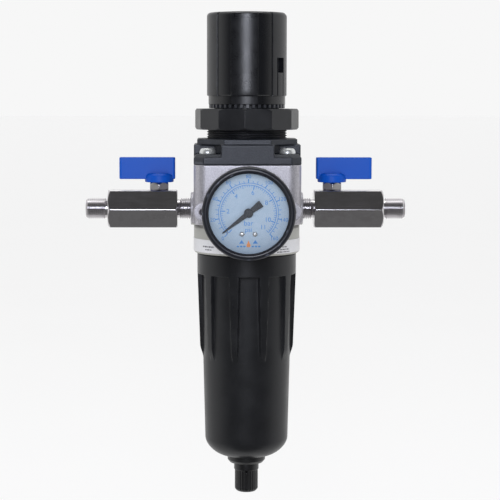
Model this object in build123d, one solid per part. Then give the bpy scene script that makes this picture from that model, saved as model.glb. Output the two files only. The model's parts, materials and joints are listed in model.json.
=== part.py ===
from build123d import *
import os
from math import acos, cos, pi, radians, sin, tan

os.makedirs("parts", exist_ok=True)

# Filter-regulator with a gauge and a shut-off valve on either side, in millimetres.
# Origin: axis of the panel neck, on the face that seats against the panel.
# +Z up to the knob, +X towards the outlet, -Y towards the gauge.

# ---- shared heights and widths
port_height = -44.0            # axis of both air ports
gauge_height = -42.7
body_top = -15.5
body_bottom = -71.4
body_half = 33.0               # half width of the square body and bonnet
running_gap = 0.08             # radial clearance of a turning or sliding fit

# ---- knob and lock teeth
knob_radius = 25.1
knob_ring_radius = 24.0        # plain ring below the flutes
knob_bore = 21.2
knob_top = 77.9
knob_bottom = 21.2
knob_ring_top = 26.6
knob_roof = 3.0
knob_edge = 2.4                # rounding of the top rim
flute_count = 6
flute_depth = 0.7
flute_angle = 24.0             # degrees that each flute spans
first_flute = 26.5             # degrees right of the front
hub_radius = 9.0
hub_bottom = 60.0
socket_across = 9.0            # hexagon socket in the hub
lock_travel = 2.4
tooth_count = 40
knob_tooth_angle = 4.0
neck_slot_angle = 5.6
tooth_inner = 22.0
tooth_drop = 2.3               # length of a lock tooth
window_angle = 55.0            # degrees right of the front
window_width = 7.3
window_bottom = 41.6
window_top = 50.8

# ---- bonnet
neck_radius = 25.0             # M50 x 1.5
neck_root = 24.1
neck_pitch = 1.5
neck_top = 18.5
slot_depth = 2.9
plate_half = 31.0              # octagonal panel seat
plate_thickness = 3.3
plate_front_half = 14.4
rib_half = 16.2                # half width of the raised middle of each side
pocket_floor = -8.9
bonnet_chamfer = 6.0
flange_bevel = 2.2             # height of the bevel below each corner pocket
tower_radius = 20.0
tower_top = 56.0
tower_roof = 52.0
spring_bore = 17.4
dome_bore = 24.0               # room for the diaphragm
dome_bore_top = -10.0
guide_rib_width = 2.4
guide_rib_inner = 15.8

# ---- panel nut
nut_corner_radius = 32.4
nut_sides = 12
nut_turn = -3.2                # degrees that its front corner is turned
nut_bottom = 5.7
nut_top = 18.6
nut_chamfer = 1.1

# ---- bonnet screws, M5 pan head
screw_spacing = 48.8
screw_shank = 2.5
screw_head_radius = 5.0
screw_head_height = 3.7
screw_length = 18.0

# ---- adjusting screw and springs
screw_thread_radius = 5.0      # M10
screw_thread_root = 4.2
screw_thread_pitch = 1.5
adjusting_bottom = 6.0
adjusting_top = 70.0
drive_across = 8.8
flange_radius = 9.0
flange_bottom = 48.5
flange_top = 50.9
spring_seat_radius = 16.6
spring_seat_bottom = 39.0
spring_seat_top = 45.0
main_spring_wire = 3.4
main_spring_radius = 12.6
main_spring_turns = 7
plate_seat = -12.2             # where the main spring stands

# ---- diaphragm stack
diaphragm_radius = 29.4
diaphragm_flange = 1.2
diaphragm_centre_bottom = -15.4
diaphragm_centre_top = -14.2
clamp_nut_bottom = -18.0
stem_radius = 2.5
poppet_top = -38.0

# ---- body bores
stem_guide_top = -21.6
stem_guide_bottom = -24.6
chamber_radius = 10.0
seat_top = -34.5
seat_radius = 8.0
seat_orifice = 6.0
poppet_bore = 11.0
cavity_ceiling = -58.0
bowl_bore = 29.3
port_thread_radius = 6.75
port_thread_depth = 11.0
port_face = 35.2
port_boss_radius = 10.2
skirt_radius = 33.2
block_bottom = -52.0
gauge_port_radius = 5.0
gauge_port_end = 22.5          # inner end of the gauge ports, from the axis
port_way_radius = 5.0
outlet_rise_x = 20.0
rise_radius = 4.0
cross_height = -29.0           # air crosses here into the valve chamber
cross_radius = 3.4
inlet_drop_x = -20.5
drop_radius = 4.5
drilling_radius = 1.6

# ---- bracket holes on the front and back
bracket_spacing = 54.6
bracket_boss_radius = 5.8
bracket_boss_face = 34.2
bracket_hole_radius = 1.9
bracket_hole_depth = 8.0

# ---- bowl
band_radius = 31.1
band_top = -71.9
band_bottom = -84.6
wall_top_radius = 28.2
wall_rib_end_radius = 27.4
wall_low_radius = 26.2
wall_thickness = 2.4
rib_count = 10
rib_width_top = 6.0
rib_width_bottom = 3.6
rib_low_radius = 29.5
rib_slope_top = -130.0
rib_bottom = -139.0
first_rib = 20.0               # degrees right of the front
dome_top = -189.5
bowl_bottom = -201.2
bowl_floor = -198.4
spigot_radius = 28.9
spigot_top = -62.5
bowl_floor_radius = 12.5
ring_groove_top = -65.4
ring_groove_bottom = -68.0
ring_groove_radius = 27.2

# ---- drain
drain_hole = 5.1
drain_collar_radius = 12.0
drain_collar_bottom = -206.0
drain_tube_radius = 5.0
drain_knob_radius = 7.85
drain_knob_top = -206.5
drain_knob_bottom = -224.7
drain_flute_radius = 7.5

# ---- gauge, depths are distances in front of the neck axis
bezel_radius = 27.8
window_radius = 23.65
bezel_front = 67.0
case_radius = 26.0
case_wall = 0.9
case_back = 41.0
case_front = 63.0
dial_depth = 57.4
needle_depth = 59.2
needle_rest = 217.6            # degrees, anticlockwise from +X seen from the front
needle_length = 19.9
needle_tail = 9.5
gear_module = 0.25
pinion_teeth = 14
sector_teeth = 126             # on the full circle
pressure_angle = 20.0
gear_play = 0.06
tube_radius = 19.0             # middle of the bourdon tube

# ---- shut-off valves, in their own frame: outward along +X from the inner hexagon face
hex_across = 23.2
hex_length = 43.4
inlet_radius = 6.58            # G 1/4 threads, outside radius
outlet_radius = 6.42
pipe_taper = 1 / 32            # of the R 1/4 threads that seal in the ports, on the radius
pipe_root = 5.75
pipe_pitch = 1.337
inner_stub = 14.0
outer_stub = 13.8
stem_offset = 11.4
ball_radius = 7.4
flow_radius = 4.5
barrel_radius = 8.4
right_valve_x = 42.1
left_valve_x = -43.5
lever_bottom = 18.6            # above the port axis
lever_top = 32.2
lever_hub_bottom = 16.7
lever_hub_top = 22.4
lever_hub_radius = 9.0
lever_out = 24.9
lever_in = 10.0
lever_thickness = 7.0


# ---------------------------------------------------------------- helpers
def turned(*outline):
    # closed outline of (radius, height) points, spun about Z
    return revolve(make_face(Polyline(*[(r, 0, z) for r, z in outline], close=True)), Axis.Z)


def spun(curves):
    # closed outline made of lines and arcs in the XZ plane, spun about Z
    edges = [edge for curve in curves for edge in curve.edges()]
    return revolve(make_face(edges), Axis.Z)


def turned_x(*outline):
    # closed outline of (distance along X, radius) points, spun about X
    return revolve(make_face(Polyline(*[(x, 0, r) for x, r in outline], close=True)), Axis.X)


def bar(radius, low, high, x=0.0, y=0.0):
    return Pos(x, y, low) * Cylinder(radius, high - low, align=(Align.CENTER, Align.CENTER, Align.MIN))


def bar_x(radius, start, end, y=0.0, z=0.0):
    return Pos(start, y, z) * Rot(0, 90, 0) * bar(radius, 0, end - start)


def bar_y(radius, start, end, x=0.0, z=0.0):
    return Pos(x, start, z) * Rot(-90, 0, 0) * bar(radius, 0, end - start)


def brick(x_low, x_high, y_low, y_high, z_low, z_high):
    size = (x_high - x_low, y_high - y_low, z_high - z_low)
    middle = ((x_low + x_high) / 2, (y_low + y_high) / 2, (z_low + z_high) / 2)
    return Pos(*middle) * Box(*size)


def prism(sides, across, low, high, turn=0.0):
    shape = RegularPolygon(across / 2, sides, major_radius=False, rotation=turn)
    return Pos(0, 0, low) * extrude(shape, high - low)


def around(piece, count, first=0.0):
    return [Rot(0, 0, first + step * 360 / count) * piece for step in range(count)]


def front_angle(degrees_right):
    # turns a piece drawn on +X to a place measured from the front, to the right
    return degrees_right - 90


def ring_thread(crest, root, pitch, start, end):
    # outline of a thread drawn as ring grooves, from start up to end
    points = [(crest, start)]
    for turn in range(int((end - start) / pitch)):
        base = start + turn * pitch
        points.append((crest, base + 0.25 * pitch))
        points.append((root, base + 0.55 * pitch))
        points.append((root, base + 0.65 * pitch))
        points.append((crest, base + 0.95 * pitch))
    points.append((crest, end))
    return points


def coil(radius, wire, low, high, turns):
    # open helical spring whose wire just reaches both heights
    path = Helix((high - low - wire) / turns, high - low - wire, radius)
    section = Plane(path @ 0, z_dir=path % 0) * Circle(wire / 2)
    return Pos(0, 0, low + wire / 2) * sweep(section, path=path)


def save(piece, name):
    solids = piece.solids() if hasattr(piece, "solids") else ShapeList(piece)
    shape = solids[0] if len(solids) == 1 else Compound(children=list(solids))
    shape.label = name
    export_step(shape, f"parts/{name}.step")


# ---------------------------------------------------------------- knob and screw
def make_knob():
    skirt = bar(knob_radius, knob_ring_top, knob_top)
    skirt = fillet(skirt.edges().group_by(Axis.Z)[-1], knob_edge)
    shell = skirt + bar(knob_ring_radius, knob_bottom, knob_ring_top)
    shell -= bar(knob_bore, knob_bottom, knob_top - knob_roof)
    shell += bar(hub_radius, hub_bottom, knob_top - knob_roof + 0.5)
    shell -= prism(6, socket_across, hub_bottom - 1, adjusting_top + lock_travel + 1)
    for place in range(flute_count):
        shell -= knob_flute(first_flute + place * 360 / flute_count)
    shell -= knob_window()
    shell -= rim_notch()
    tooth = lock_tooth(knob_tooth_angle, tooth_inner, 23.7, knob_bottom - tooth_drop, knob_bottom + 0.5)
    for piece in around(tooth, tooth_count):
        shell += piece
    return shell


def knob_flute(angle):
    outer = bar(knob_radius + 2, knob_ring_top, knob_top + 1)
    ring = outer - bar(knob_radius - flute_depth, knob_ring_top - 1, knob_top + 2)
    return ring & wedge(flute_angle, knob_ring_top - 1, knob_top + 2, angle)


def wedge(angle, low, high, place, reach=60.0):
    # solid sector centred on a direction measured from the front
    half = radians(angle / 2)
    corner = (reach * cos(half), reach * sin(half))
    shape = make_face(Polyline((0, 0), (corner[0], -corner[1]), corner, close=True))
    return Rot(0, 0, front_angle(place)) * Pos(0, 0, low) * extrude(shape, high - low)


def knob_window():
    half = window_width / 2
    cut = brick(knob_bore - 1, knob_radius + 1, -half, half, window_bottom, window_top)
    for side in (-1, 1):
        edge = side * (half - 0.5)
        cut += brick(knob_radius - 1.3, knob_radius + 1, edge - 0.5, edge + 0.5, knob_ring_top, window_bottom + 1)
    return Rot(0, 0, front_angle(window_angle)) * cut


def rim_notch():
    notch = brick(knob_radius - 0.9, knob_radius + 1, -6.7, 6.7, knob_top - 3.9, knob_top - 1.4)
    return Rot(0, 0, front_angle(first_flute - 30)) * notch


def lock_tooth(angle, inner, outer, low, high):
    # one tooth of the ring, its middle on +X
    half = radians(angle / 2)
    block = bar(outer, low, high) - bar(inner, low - 1, high + 1)
    reach = outer + 5
    shape = make_face(Polyline((0, 0), (reach, -reach * tan(half)), (reach, reach * tan(half)), close=True))
    return block & (Pos(0, 0, low - 1) * extrude(shape, high - low + 2))


def make_adjusting_screw():
    thread = ring_thread(screw_thread_radius, screw_thread_root, screw_thread_pitch, adjusting_bottom + 1, flange_bottom)
    outline = [(0, adjusting_bottom), (screw_thread_root, adjusting_bottom)] + thread
    outline += [(flange_radius, flange_bottom), (flange_radius, flange_top)]
    outline += [(screw_thread_radius, flange_top), (screw_thread_radius, tower_top + 0.8), (0, tower_top + 0.8)]
    return turned(*outline) + prism(6, drive_across, tower_top, adjusting_top)


def make_thrust_washer():
    low = flange_top + 0.02
    return bar(flange_radius, low, tower_roof - 0.02) - bar(5.4, low - 1, tower_roof + 1)


def make_spring_seat():
    seat = turned(
        (5.08, spring_seat_bottom - 5), (8.5, spring_seat_bottom - 5), (8.5, spring_seat_bottom),
        (spring_seat_radius, spring_seat_bottom), (spring_seat_radius, spring_seat_top - 1),
        (spring_seat_radius - 1, spring_seat_top), (5.08, spring_seat_top),
    )
    notch = brick(guide_rib_inner - 0.5, 20, -guide_rib_width / 2 - 0.3, guide_rib_width / 2 + 0.3, 30, 60)
    for piece in around(notch, 2):
        seat -= piece
    return seat


# ---------------------------------------------------------------- bonnet
def make_bonnet():
    block = brick(-body_half, body_half, -body_half, body_half, body_top, -plate_thickness)
    block = chamfer(block.edges().filter_by(Axis.Z), bonnet_chamfer)
    for x_side in (-1, 1):
        for y_side in (-1, 1):
            block -= corner_pocket(x_side, y_side)
    block += panel_seat_plate()
    block += turned(*neck_outline())
    block += bar(tower_radius, neck_top - 1, tower_top)
    block -= bonnet_cavity()
    for piece in spring_guides():
        block += piece
    slot = lock_tooth(neck_slot_angle, tooth_inner - 0.4, 26, neck_top - slot_depth, neck_top + 1)
    for piece in around(slot, tooth_count):
        block -= piece
    for x, y in screw_places():
        block -= bar(screw_shank + 0.25, body_top - 1, pocket_floor + 1, x, y)
    return block


def corner_pocket(x_side, y_side):
    reach = body_half + 5
    size = reach - rib_half
    centre = (x_side * (rib_half + size / 2), y_side * (rib_half + size / 2), pocket_floor + 10)
    pocket = Pos(*centre) * Box(size, size, 20)
    bevel = Pos(centre[0], centre[1], pocket_floor) * Box(size, size, 2 * flange_bevel)
    plan = chamfer(Rectangle(2 * body_half, 2 * body_half).vertices(), bonnet_chamfer)
    bevel -= Pos(0, 0, pocket_floor - flange_bevel) * extrude(plan, flange_bevel, taper=42)
    return pocket + bevel - bar(25.6, body_top, 0)


def panel_seat_plate():
    half, front = plate_half, plate_front_half
    shape = make_face(Polyline(
        (half, -front), (half, front), (front, half), (-front, half),
        (-half, front), (-half, -front), (-front, -half), (front, -half), close=True,
    ))
    return Pos(0, 0, -plate_thickness) * extrude(shape, plate_thickness)


def neck_outline():
    outline = [(0, -1), (neck_radius, -1)]
    outline += ring_thread(neck_radius, neck_root, neck_pitch, 0.5, neck_top - slot_depth - 0.2)
    return outline + [(neck_radius, neck_top - 0.6), (neck_radius - 0.6, neck_top), (0, neck_top)]


def bonnet_cavity():
    return turned(
        (0, body_top - 1), (dome_bore, body_top - 1), (dome_bore, dome_bore_top),
        (spring_bore, -4), (spring_bore, tower_roof),
        (screw_thread_radius + 0.1, tower_roof), (screw_thread_radius + 0.1, tower_top + 1), (0, tower_top + 1),
    )


def spring_guides():
    rib = brick(guide_rib_inner, spring_bore + 0.6, -guide_rib_width / 2, guide_rib_width / 2, 20, tower_roof + 0.5)
    return around(rib, 2)


def screw_places():
    half = screw_spacing / 2
    return [(x, y) for x in (-half, half) for y in (-half, half)]


def make_bonnet_screws():
    screws = []
    for x, y in screw_places():
        head = bar(screw_head_radius, pocket_floor, pocket_floor + screw_head_height, x, y)
        head = fillet(head.edges().group_by(Axis.Z)[-1], 2.2)
        top = pocket_floor + screw_head_height
        cross = brick(x - 2.6, x + 2.6, y - 0.5, y + 0.5, top - 1.6, top + 1)
        cross += brick(x - 0.5, x + 0.5, y - 2.6, y + 2.6, top - 1.6, top + 1)
        shank = bar(screw_shank, pocket_floor - screw_length, pocket_floor + 0.5, x, y)
        screws.append(head - cross + shank)
    return Compound(children=[screw.solids()[0] for screw in screws])


def make_panel_nut():
    across = 2 * nut_corner_radius * cos(pi / nut_sides)
    blank = prism(nut_sides, across, nut_bottom, nut_top)
    blank &= turned(
        (0, nut_bottom), (nut_corner_radius - nut_chamfer * 1.6, nut_bottom),
        (nut_corner_radius + 0.2, nut_bottom + nut_chamfer * 1.4),
        (nut_corner_radius + 0.2, nut_top - nut_chamfer * 1.4),
        (nut_corner_radius - nut_chamfer * 1.6, nut_top), (0, nut_top),
    )
    return Rot(0, 0, nut_turn) * (blank - bar(neck_radius + running_gap, nut_bottom - 1, nut_top + 1))


# ---------------------------------------------------------------- diaphragm and valve train
def make_main_spring():
    low, high = plate_seat + 0.03, spring_seat_bottom - 0.03
    return coil(main_spring_radius, main_spring_wire, low, high, main_spring_turns)


def make_diaphragm_plate():
    return turned(
        (1.6, clamp_nut_bottom + 1.6), (4.0, clamp_nut_bottom + 1.6), (4.0, diaphragm_centre_top),
        (19.0, diaphragm_centre_top), (19.0, plate_seat), (10.4, plate_seat),
        (10.4, plate_seat + 1.8), (1.6, plate_seat + 1.8),
    )


def make_diaphragm():
    flange_low = body_top - diaphragm_flange
    return turned(
        (4.1, diaphragm_centre_bottom), (19.6, diaphragm_centre_bottom), (22.0, flange_low),
        (diaphragm_radius, flange_low), (diaphragm_radius, body_top), (22.8, body_top),
        (20.4, diaphragm_centre_top), (4.1, diaphragm_centre_top),
    )


def make_diaphragm_nut():
    nut = prism(6, 13.0, clamp_nut_bottom, diaphragm_centre_bottom)
    return nut - bar(4.05, clamp_nut_bottom + 1.6, 0) - bar(1.6, clamp_nut_bottom - 1, 0)


def make_valve_stem():
    return turned(
        (0, clamp_nut_bottom), (1.2, clamp_nut_bottom), (stem_radius, clamp_nut_bottom - 1.3),
        (stem_radius, poppet_top), (0, poppet_top),
    )


def make_poppet():
    return turned(
        (0, poppet_top), (7.0, poppet_top), (7.6, poppet_top - 0.6), (7.6, poppet_top - 3.5),
        (4.0, poppet_top - 3.5), (4.0, poppet_top - 17), (0, poppet_top - 17),
    )


def make_valve_seat():
    return turned(
        (seat_orifice, poppet_top), (seat_radius, poppet_top),
        (seat_radius, seat_top - 0.1), (seat_orifice, seat_top - 0.1),
    )


def make_poppet_spring():
    return coil(5.5, 1.0, poppet_top - 13.97, poppet_top - 3.53, 5)


def make_valve_guide():
    low, floor = cavity_ceiling - 2.4, poppet_top - 14
    guide = turned(
        (3.0, low), (13.6, low), (13.6, cavity_ceiling - 0.05), (10.9, cavity_ceiling - 0.05),
        (10.9, floor - 3), (6.8, floor - 3), (6.8, floor), (4.08, floor),
        (4.08, floor - 5.0), (3.0, floor - 5.0),
    )
    for piece in around(bar(1.1, low - 1, floor + 1, x=8.9), 8):
        guide -= piece
    return guide


# ---------------------------------------------------------------- body
def make_body():
    block = brick(-body_half, body_half, -body_half, body_half, block_bottom, body_top)
    block = fillet(block.edges().filter_by(Axis.Z), 8.0)
    body = block + turned(
        (0, block_bottom + 4), (body_half - 4, block_bottom + 4), (skirt_radius, block_bottom - 3),
        (skirt_radius, body_bottom + 1), (skirt_radius - 1, body_bottom), (0, body_bottom),
    )
    body += bar_x(port_boss_radius, -port_face, port_face, z=port_height)
    for x in (-bracket_spacing / 2, bracket_spacing / 2):
        body += bar_y(bracket_boss_radius, -bracket_boss_face, bracket_boss_face, x=x, z=port_height)
    body -= body_bores()
    body -= air_passages()
    for x in (-bracket_spacing / 2, bracket_spacing / 2):
        for start in (-bracket_boss_face - 1, bracket_boss_face - bracket_hole_depth):
            body -= bar_y(bracket_hole_radius, start, start + bracket_hole_depth + 1, x=x, z=port_height)
    for x, y in screw_places():
        body -= bar(screw_shank + 0.05, pocket_floor - screw_length - 1, body_top + 1, x, y)
    return body


def body_bores():
    recess = bar(diaphragm_radius + 0.2, body_top - diaphragm_flange, body_top + 1)
    recess += bar(21.6, stem_guide_top, body_top)
    recess += bar(stem_radius + running_gap, stem_guide_bottom - 1, stem_guide_top + 1)
    recess += bar(chamber_radius, seat_top, stem_guide_bottom)
    recess += bar(seat_radius + 0.02, poppet_top - 0.5, seat_top + 0.5)
    recess += bar(poppet_bore, cavity_ceiling - 1, poppet_top)
    recess += bar(bowl_bore, body_bottom - 1, cavity_ceiling)
    return recess


def air_passages():
    ways = bar_x(port_thread_radius, port_face - port_thread_depth, port_face + 1, z=port_height)
    ways += bar_x(port_thread_radius, -port_face - 1, -port_face + port_thread_depth, z=port_height)
    # outlet: up from the port and across into the chamber above the valve seat
    ways += bar_x(port_way_radius, outlet_rise_x - 7, port_face - 5, z=port_height)
    ways += bar(rise_radius, port_height, cross_height + 2, x=outlet_rise_x)
    ways += bar_x(cross_radius, chamber_radius - 5, outlet_rise_x + 1, z=cross_height)
    # inlet: down from the port into the filter bowl
    ways += bar_x(port_way_radius, -port_face + 5, inlet_drop_x + 6.5, z=port_height)
    ways += bar(drop_radius, cavity_ceiling - 1, port_height, x=inlet_drop_x)
    # gauge ports front and back, each drilled across to the outlet chamber
    for side in (-1, 1):
        ends = sorted((side * body_half * 1.1, side * gauge_port_end))
        ways += bar_y(gauge_port_radius, ends[0], ends[1], z=gauge_height)
        ways += bar(drilling_radius, gauge_height, cross_height + 2, y=side * (gauge_port_end + 2))
        ends = sorted((side * (gauge_port_end + 2), side * (chamber_radius - 5)))
        ways += bar_y(drilling_radius - 0.3, ends[0], ends[1], z=cross_height)
    return ways


def make_rear_port_plug():
    plug = bar_y(gauge_port_radius - 0.1, 25.5, body_half + 0.1, z=gauge_height)
    plug += bar_y(7.4, body_half + 0.05, body_half + 2.6, z=gauge_height)
    socket = Pos(0, body_half + 3, gauge_height) * Rot(90, 0, 0) * prism(6, 5.0, 0, 6)
    return plug - socket


def make_body_label():
    ring = bar(skirt_radius + 0.2, -70.0, -62.0) - bar(skirt_radius + 0.02, -71, -60)
    return ring - brick(-50, 50, 6.0, 50, -72, -59)


# ---------------------------------------------------------------- filter
def make_deflector():
    low, high = cavity_ceiling - 7.0, cavity_ceiling - 2.5
    swirl = turned((11.8, high - 1.6), (17.4, high - 1.6), (17.4, high), (11.8, high))
    swirl += turned((14.0, low), (17.4, low), (17.4, high - 1), (14.0, high - 1))
    swirl += turned((24.4, low), (25.8, low), (25.8, high), (24.4, high))
    vane = Pos(21.2, 0, (low + high) / 2) * Rot(35, 0, 0) * Box(8.0, 1.2, 5.0)
    vane &= bar(26.0, low, high)
    for piece in around(vane, 12):
        swirl += piece
    return swirl


def make_filter_element():
    return bar(17.0, -115, cavity_ceiling - 7.05) - bar(12.0, -116, cavity_ceiling - 6)


def make_tie_rod():
    return bar(2.9, -124, cavity_ceiling - 2.45) + bar(2.9, cavity_ceiling - 2.5, cavity_ceiling + 0.9)


def make_baffle():
    return turned(
        (3.0, -117.6), (20.0, -117.6), (21.6, -119.2), (21.6, -127), (23.0, -127),
        (23.0, -118.4), (20.8, -115.05), (3.0, -115.05),
    )


def make_baffle_nut():
    return prism(6, 12.0, -122.6, -117.65) - bar(2.95, -123, -117)


# ---------------------------------------------------------------- bowl and drain
def make_bowl():
    outer = [
        Polyline((0, 0, spigot_top), (spigot_radius - 0.8, 0, spigot_top), (spigot_radius, 0, spigot_top - 0.8),
                 (spigot_radius, 0, band_top), (band_radius, 0, band_top), (band_radius, 0, band_bottom),
                 (wall_top_radius, 0, band_bottom), (wall_rib_end_radius, 0, rib_bottom),
                 (wall_low_radius, 0, dome_top)),
        ThreePointArc((wall_low_radius, 0, dome_top), (22.7, 0, -196.6), (bowl_floor_radius, 0, bowl_bottom)),
        Polyline((bowl_floor_radius, 0, bowl_bottom), (0, 0, bowl_bottom), (0, 0, spigot_top)),
    ]
    bowl = spun(outer)
    bowl += bowl_ribs()
    bowl -= bowl_hollow()
    bowl -= bar(drain_hole, bowl_bottom - 1, bowl_floor + 1)
    groove = bar(spigot_radius + 1, ring_groove_bottom, ring_groove_top)
    return bowl - (groove - bar(ring_groove_radius, ring_groove_bottom - 1, ring_groove_top + 1))


def bowl_hollow():
    inset = wall_thickness
    inner = [
        Polyline((0, 0, spigot_top + 1), (26.6, 0, spigot_top + 1), (26.6, 0, band_top - 5),
                 (wall_top_radius - inset, 0, band_bottom), (wall_rib_end_radius - inset, 0, rib_bottom),
                 (wall_low_radius - inset, 0, dome_top)),
        ThreePointArc((wall_low_radius - inset, 0, dome_top), (20.9, 0, -195.0), (12.0, 0, bowl_floor)),
        Polyline((12.0, 0, bowl_floor), (0, 0, bowl_floor), (0, 0, spigot_top + 1)),
    ]
    return spun(inner)


def bowl_ribs():
    ring = turned(
        (26.0, band_bottom + 3), (band_radius, band_bottom + 3), (band_radius, band_bottom),
        (rib_low_radius, rib_slope_top), (wall_rib_end_radius - 0.3, rib_bottom), (26.0, rib_bottom),
    )
    high, low = band_bottom + 4, rib_bottom - 1
    half_high, half_low = rib_width_top / 2, rib_width_bottom / 2
    side = make_face(Polyline(
        (0, -half_high, high), (0, half_high, high), (0, half_low, low), (0, -half_low, low), close=True,
    ))
    blade = extrude(side, 40, dir=(1, 0, 0))
    ribs = [ring & piece for piece in around(blade, rib_count, front_angle(first_rib))]
    return Compound(children=[rib.solids()[0] for rib in ribs])


def make_bowl_o_ring():
    middle = (ring_groove_top + ring_groove_bottom) / 2
    return Pos(0, 0, middle) * Torus(ring_groove_radius + 1.02, 0.98)


def make_drain_collar():
    low = drain_collar_bottom
    return turned(
        (drain_hole, bowl_bottom), (drain_collar_radius, bowl_bottom), (drain_collar_radius, low + 1.9),
        (drain_collar_radius - 1.6, low), (drain_hole, low),
    )


def make_drain_body():
    return turned(
        (2.6, -195.0), (9.0, -195.0), (9.0, -197.0), (drain_tube_radius, -197.0),
        (drain_tube_radius, -215.0), (2.6, -215.0),
    )


def make_drain_seal():
    return Pos(0, 0, -197.7) * Torus(7.2, 0.69)


def make_drain_stem():
    return turned(
        (0, -192.6), (3.4, -192.6), (3.4, -194.4), (2.52, -194.98), (2.52, -213.0),
        (1.9, -213.4), (1.9, -219.0), (0, -219.0),
    )


def make_drain_knob():
    low, shoulder = drain_knob_bottom, drain_knob_top - 4.0
    knob = turned(
        (0, drain_knob_top), (drain_knob_radius, drain_knob_top), (drain_knob_radius, shoulder),
        (drain_flute_radius, shoulder - 0.4), (drain_flute_radius, low + 1.6),
        (drain_flute_radius - 1.6, low), (0, low),
    )
    knob -= bar(drain_tube_radius + running_gap, -215.6, drain_knob_top + 1)
    knob -= bar(2.0, -221.0, -215)
    knob -= bar(1.4, low - 1, -220.5)
    for piece in around(bar(0.45, low - 1, shoulder - 0.8, x=drain_flute_radius + 0.1), 20):
        knob -= piece
    return knob - bar_y(0.7, -9, -7.0, z=shoulder - 0.6)


# ---------------------------------------------------------------- gauge
front = Plane(origin=(0, 0, gauge_height), x_dir=(1, 0, 0), z_dir=(0, -1, 0))


def disc_ring(outer, inner, back, face):
    return bar(outer, back, face) - bar(inner, back - 1, face + 1)


def make_gauge_stem():
    stem = turned(
        (1.4, 26), (4.3, 26), (4.86, 26.6), (4.86, 36), (6.0, 36), (6.0, case_back),
        (5.9, case_back), (5.9, 44), (1.4, 44),
    )
    stem += prism(6, 14.0, 36.5, 40.5) - bar(1.4, 30, 45)
    block = brick(-8.0, 8.0, -6.5, 6.0, 42.4, 48.9) - bar(1.4, 40, 46)
    return stem + block


def make_gauge_case():
    cup = bar(case_radius, case_back, case_front) - bar(case_radius - case_wall, case_back + case_wall, 70)
    return cup - bar(6.1, case_back - 1, case_back + 2)


def make_gauge_bezel():
    back = case_front - 5
    return turned(
        (case_radius + 0.05, back), (bezel_radius - 0.5, back), (bezel_radius, back + 0.6),
        (bezel_radius, bezel_front - 1.2), (bezel_radius - 1.1, bezel_front),
        (window_radius + 1.0, bezel_front), (window_radius, bezel_front - 0.9),
        (window_radius, case_front + 2.1), (case_radius + 0.05, case_front + 2.1),
    )


def make_gauge_lens():
    return bar(case_radius - 0.2, case_front + 0.1, case_front + 2.0)


def make_gauge_dial():
    dial = bar(24.6, dial_depth - 0.5, dial_depth) - bar(1.2, dial_depth - 1, dial_depth + 1)
    for x in (-3.85, 3.85):
        dial -= bar(0.75, dial_depth - 1, dial_depth + 1, x, -12.7)
    return dial - bar(0.4, dial_depth - 1, dial_depth + 1, *stop_place())


def stop_place():
    angle = radians(needle_rest + 5.4)
    return 17.1 * cos(angle), 17.1 * sin(angle)


def make_dial_screws():
    screws = []
    for x in (-3.85, 3.85):
        head = bar(1.45, dial_depth + 0.02, dial_depth + 0.9, x, -12.7)
        head -= brick(x - 2, x + 2, -12.9, -12.5, dial_depth + 0.5, dial_depth + 2)
        screws.append(head + bar(0.7, 54.1, dial_depth + 0.1, x, -12.7))
    return Compound(children=[screw.solids()[0] for screw in screws])


def make_stop_pin():
    x, y = stop_place()
    return bar(0.36, dial_depth - 0.5, needle_depth + 0.9, x, y)


def make_pointer():
    tail, tip = -needle_tail, needle_length
    blade = make_face(Polyline(
        (tail, -1.6), (tail, 1.6), (-2, 1.2), (2.4, 1.3), (tip, 0.3), (tip, -0.3),
        (2.4, -1.3), (-2, -1.2), close=True,
    ))
    needle = Pos(0, 0, needle_depth) * extrude(blade, 0.5)
    needle += bar(2.8, needle_depth - 0.4, needle_depth + 0.9)
    return Rot(0, 0, needle_rest) * (needle - bar(0.6, needle_depth - 1, needle_depth + 0.5))


def make_pointer_shaft():
    pinion = gear_blank(pinion_teeth, 1.0, 1.1, range(pinion_teeth), -90 + 180 / pinion_teeth)
    shaft = Pos(0, 0, 51.1) * extrude(pinion, 2.0)
    return shaft + bar(0.6, 49.8, needle_depth + 0.5) + bar(1.0, 50.7, 53.4)


def gear_blank(teeth, above, below, which, first):
    # toothed disc face; above and below are tooth heights in modules
    pitch_radius = gear_module * teeth / 2
    root = pitch_radius - below * gear_module
    shape = Circle(root)
    for tooth in which:
        shape += Rot(0, 0, first + tooth * 360 / teeth) * tooth_face(teeth, above, root)
    return shape


def tooth_face(teeth, above, root):
    # involute tooth with its middle on +X, thinned by the play
    pitch_radius = gear_module * teeth / 2
    base = pitch_radius * cos(radians(pressure_angle))
    tip = pitch_radius + above * gear_module
    half_pitch = (pi * gear_module / 2 - gear_play) / 2 / pitch_radius
    slant = tan(radians(pressure_angle)) - radians(pressure_angle)
    start = max(root, base)
    flank = [(root - 0.05, half_pitch + slant - roll(base, start))]
    for step in range(5):
        radius = start + (tip - start) * step / 4
        flank.append((radius, half_pitch + slant - roll(base, radius)))
    upper = [(r * cos(a), r * sin(a)) for r, a in flank]
    lower = [(r * cos(a), -r * sin(a)) for r, a in reversed(flank)]
    return make_face(Polyline(*upper, *lower, close=True))


def roll(base, radius):
    # involute function of the pressure angle at a radius
    angle = acos(min(1.0, base / radius))
    return tan(angle) - angle


def sector_pivot():
    return -gear_module * (pinion_teeth + sector_teeth) / 2


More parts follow.
